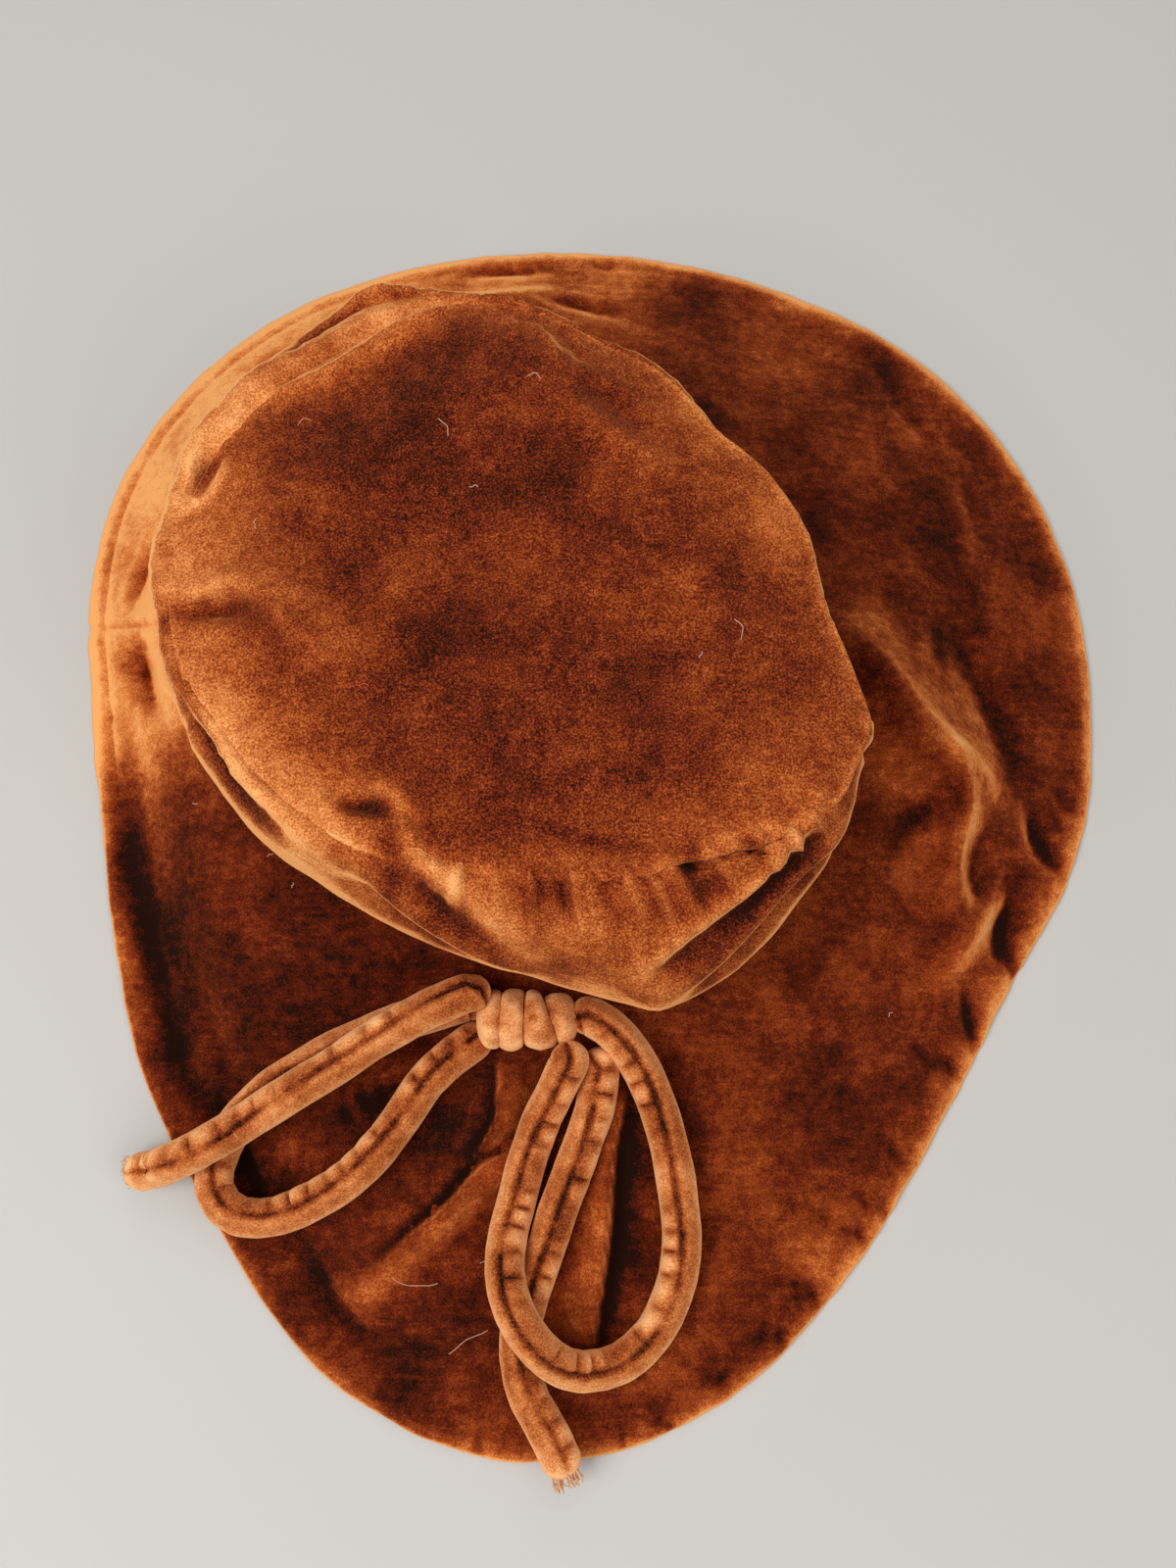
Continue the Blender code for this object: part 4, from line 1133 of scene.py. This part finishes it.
def add(tree, kind, settings=None, **fields):
    """Adds a node. Settings go to its sockets by name or number: a value, or for a link the
    node and the output that it comes from. Fields are the node's own."""
    made = tree.nodes.new(kind)
    for field, value in fields.items():
        setattr(made, field, value)
    for socket, value in (settings or {}).items():
        if isinstance(value, tuple) and isinstance(value[0], bpy.types.Node):
            tree.links.new(value[0].outputs[value[1]], made.inputs[socket])
        else:
            made.inputs[socket].default_value = value
    return made


def colour(code):
    """An sRGB hex colour as linear red, green, blue and alpha."""
    parts = [int(code[i : i + 2], 16) / 255 for i in (1, 3, 5)]
    linear = [p / 12.92 if p <= 0.04045 else ((p + 0.055) / 1.055) ** 2.4 for p in parts]
    return (*linear, 1.0)


def per_size(millimetres):
    """A texture's scale for Object coordinates, from the real size of its pattern."""
    return 1000 / millimetres


# A velvet's tones from pressed pile in painted shade to the painted sheen of pile seen across its
# tips, and how strong each effect is: slumped patches, tufts, streaks along X, and the painted
# sheen, a pale rim painted into the colour on slopes, which begins where the cloth turns away from
# the eye by rim_from. The last is how much sheen the shader gives the pile.
Pile = namedtuple("Pile", "tones patch tuft streak rim rim_from sheen")
TONE_STOPS = (0.0, 0.22, 0.45, 0.7, 1.0)

# The sizes of the pile's patterns in mm, and how much narrower across than along the streaks
# are. The yarn is 0.1 mm thick, too fine to show, so the flecks are tufts of half a millimetre.
PATCH_SIZE = 22
CLUMP_SIZE = 3.2
TUFT_SIZE = 0.55
STREAK_SIZE = 14
STREAK_STRETCH = (1, 9, 9)


def new_material(name):
    """A material, its node tree and its shader."""
    made = bpy.data.materials.new(name)
    made.use_nodes = True
    return made, made.node_tree, made.node_tree.nodes["Principled BSDF"]


# The part of a noise texture's range that is drawn out to the whole change.
NOISE_RANGE = (0.32, 0.72)


def velvet(name, pile):
    """Cotton velvet, an upright cut pile of dyed yarn that slumps in patches. The eye sees a dark
    ground where it looks into the pile, pale flecks where tufts lie over, and a bright rim where it
    looks across the pile's tips; that rim is painted sheen, painted into the base colour from the
    angle to the eye, on top of the painted light and shade that each piece carries in its vertex
    tone."""
    made, tree, shader = new_material(name)
    spot = (add(tree, "ShaderNodeTexCoord"), "Object")
    drawn_out = (
        add(tree, "ShaderNodeVectorMath", {0: spot, 1: STREAK_STRETCH}, operation="MULTIPLY"),
        0,
    )
    patches, clumps, tufts, streaks = (
        add(
            tree,
            "ShaderNodeTexNoise",
            {
                "Vector": vector,
                "Scale": per_size(size),
                "Detail": detail,
                "Roughness": roughness,
                "Distortion": distortion,
            },
        )
        for vector, size, detail, roughness, distortion in [
            (spot, PATCH_SIZE, 5.0, 0.58, 0.3),
            (spot, CLUMP_SIZE, 3.0, 0.6, 0.0),
            (spot, TUFT_SIZE, 1.0, 0.7, 0.0),
            (drawn_out, STREAK_SIZE, 3.0, 0.6, 0.0),
        ]
    )
    nap = add(tree, "ShaderNodeAttribute", attribute_name="nap")
    uneven = add(
        tree,
        "ShaderNodeBump",
        {"Height": (clumps, "Fac"), "Strength": 0.35, "Distance": 0.0008},
    )
    # Painted sheen: the colour is made paler where the surface turns away from the eye.
    across = add(tree, "ShaderNodeLayerWeight", {"Blend": 0.5, "Normal": (uneven, 0)})
    rim = add(
        tree,
        "ShaderNodeMapRange",
        {"Value": (across, "Facing"), "From Min": pile.rim_from, "To Max": pile.rim},
        interpolation_type="SMOOTHSTEP",
    )
    tone = (nap, "Fac")
    for source, darker, lighter in [
        (patches, pile.patch, pile.patch),
        (clumps, 0.6 * pile.patch, 0.6 * pile.patch),
        (tufts, 0.5 * pile.tuft, 1.2 * pile.tuft),
        (streaks, pile.streak, pile.streak),
    ]:
        shift = add(
            tree,
            "ShaderNodeMapRange",
            {
                "Value": (source, "Fac"),
                "From Min": NOISE_RANGE[0],
                "From Max": NOISE_RANGE[1],
                "To Min": -darker,
                "To Max": lighter,
            },
        )
        tone = (add(tree, "ShaderNodeMath", {0: tone, 1: (shift, 0)}, operation="ADD"), 0)
    tone = (add(tree, "ShaderNodeMath", {0: tone, 1: (rim, 0)}, operation="ADD"), 0)
    shade = add(tree, "ShaderNodeValToRGB", {"Fac": tone})
    stops = shade.color_ramp.elements
    while len(stops) < len(TONE_STOPS):
        stops.new(0.5)
    for stop, position, code in zip(stops, TONE_STOPS, pile.tones):
        stop.position = position
        stop.color = colour(code)
    bump = add(
        tree,
        "ShaderNodeBump",
        {"Height": (tufts, "Fac"), "Strength": 0.5, "Distance": 0.0005, "Normal": (uneven, 0)},
    )
    tree.links.new(shade.outputs["Color"], shader.inputs["Base Color"])
    tree.links.new(bump.outputs[0], shader.inputs["Normal"])
    for socket, value in {
        "Roughness": 0.95,
        "Specular IOR Level": 0.1,
        "Sheen Weight": pile.sheen,
        "Sheen Roughness": 0.45,
        "Sheen Tint": colour(pile.tones[-1]),
    }.items():
        shader.inputs[socket].default_value = value
    return made


def fibre(name, code):
    """A loose cotton thread, slightly uneven in colour along its length."""
    made, tree, shader = new_material(name)
    spot = (add(tree, "ShaderNodeTexCoord"), "Object")
    twist = add(tree, "ShaderNodeTexNoise", {"Vector": spot, "Scale": per_size(1.5), "Detail": 2.0})
    darker = tuple(0.6 * part for part in colour(code)[:3]) + (1.0,)
    mixed = add(
        tree,
        "ShaderNodeMix",
        {0: (twist, "Fac"), 6: darker, 7: colour(code)},
        data_type="RGBA",
    )
    tree.links.new(mixed.outputs[2], shader.inputs["Base Color"])
    shader.inputs["Roughness"].default_value = 0.8
    return made


def add_floor():
    """A pale matt table top."""
    floor = new_piece("table_top", bpy.ops.mesh.primitive_plane_add, size=6)[0]
    made, tree, shader = new_material("matt paint")
    shader.inputs["Base Color"].default_value = colour("#b9b6b0")
    shader.inputs["Roughness"].default_value = 0.6
    floor.data.materials.append(made)


def add_lights():
    """A large soft light from the left front, weaker ones from the right and from behind, and
    an even room."""
    for name, where, size, power in [
        ("left window", (-0.8, -0.5, 1.35), 1.0, 21),
        ("right window", (0.8, -0.7, 1.3), 1.0, 8),
        ("far fill", (0.1, 1.1, 1.3), 1.4, 5),
    ]:
        bpy.ops.object.light_add(type="AREA", location=where)
        light = bpy.context.object
        light.name = name
        light.data.size = size
        light.data.energy = power
        light.rotation_euler = (-Vector(where)).to_track_quat("-Z", "Y").to_euler()
    world = bpy.data.worlds.new("room")
    world.use_nodes = True
    world.node_tree.nodes["Background"].inputs["Color"].default_value = colour("#dcdfe2")
    world.node_tree.nodes["Background"].inputs["Strength"].default_value = 0.5
    bpy.context.scene.world = world
    bpy.context.scene.view_settings.view_transform = "Standard"


def in_plain_places(line):
    """The same crease with x and y in place of each bearing and reach."""
    bearing, reach = np.reshape(line.points, (-1, 2)).T
    return line._replace(points=np.stack(plain(bearing, reach), -1).ravel())


CROWN_CREASES_PLAIN = [in_plain_places(line) for line in CROWN_CREASES]
CROWN_PAINTED_LIGHT_LINES_PLAIN = [in_plain_places(line) for line in CROWN_PAINTED_LIGHT_LINES]

# Rust-brown cotton velvet: the pile is dyed one colour; its shade changes with its lie and with the
# painted light, shade and sheen.
brim_velvet = velvet(
    "brim cotton velvet",
    Pile(("#190400", "#571803", "#8c3a12", "#c96f33", "#eea45f"), 0.14, 0.13, 0.05, 0.7, 0.05, 0.2),
)
crown_velvet = velvet(
    "crown cotton velvet",
    Pile(("#220701", "#651f09", "#984518", "#c8743a", "#efa866"), 0.12, 0.24, 0.02, 0.8, 0.5, 0.2),
)
tie_velvet = velvet(
    "tie cotton velvet",
    Pile(("#1e0801", "#742f10", "#a65525", "#d0824a", "#f2b279"), 0.16, 0.18, 0.0, 0.5, 0.1, 0.2),
)
tie_thread = fibre("cut cotton threads", "#e3a878")
pale_lint = fibre("pale lint", "#d9a585")
red_lint = fibre("red lint", "#d8452e")

add_camera()
make_cord("bow_loop_left", LOOP_LEFT, "tie_loop_left", "object", 1.0, -4, -1, tie_velvet)
make_cord("bow_tail_left", TAIL_LEFT, "tie_tail_left", "bare", 21.0, 6, 1, tie_velvet)
make_cord("bow_loop_right", LOOP_RIGHT, "tie_loop_right", "object", 41.0, 4, -1, tie_velvet)
make_cord("bow_tail_right", TAIL_RIGHT, "tie_tail_right", "bare", 61.0, -4, -1, tie_velvet)
add_fray("tail_left_fray", TAIL_LEFT, 26, 1.6, 5, tie_thread)
add_fray("tail_right_fray", TAIL_RIGHT, 34, 3.4, 9, tie_thread)
make_knot(tie_velvet)
make_brim(brim_velvet)
make_band(crown_velvet)
make_tip(crown_velvet)
add_lint("loose_lint", LINT, pale_lint)
add_lint("red_fibre", RED_LINT, red_lint)
add_floor()
add_lights()
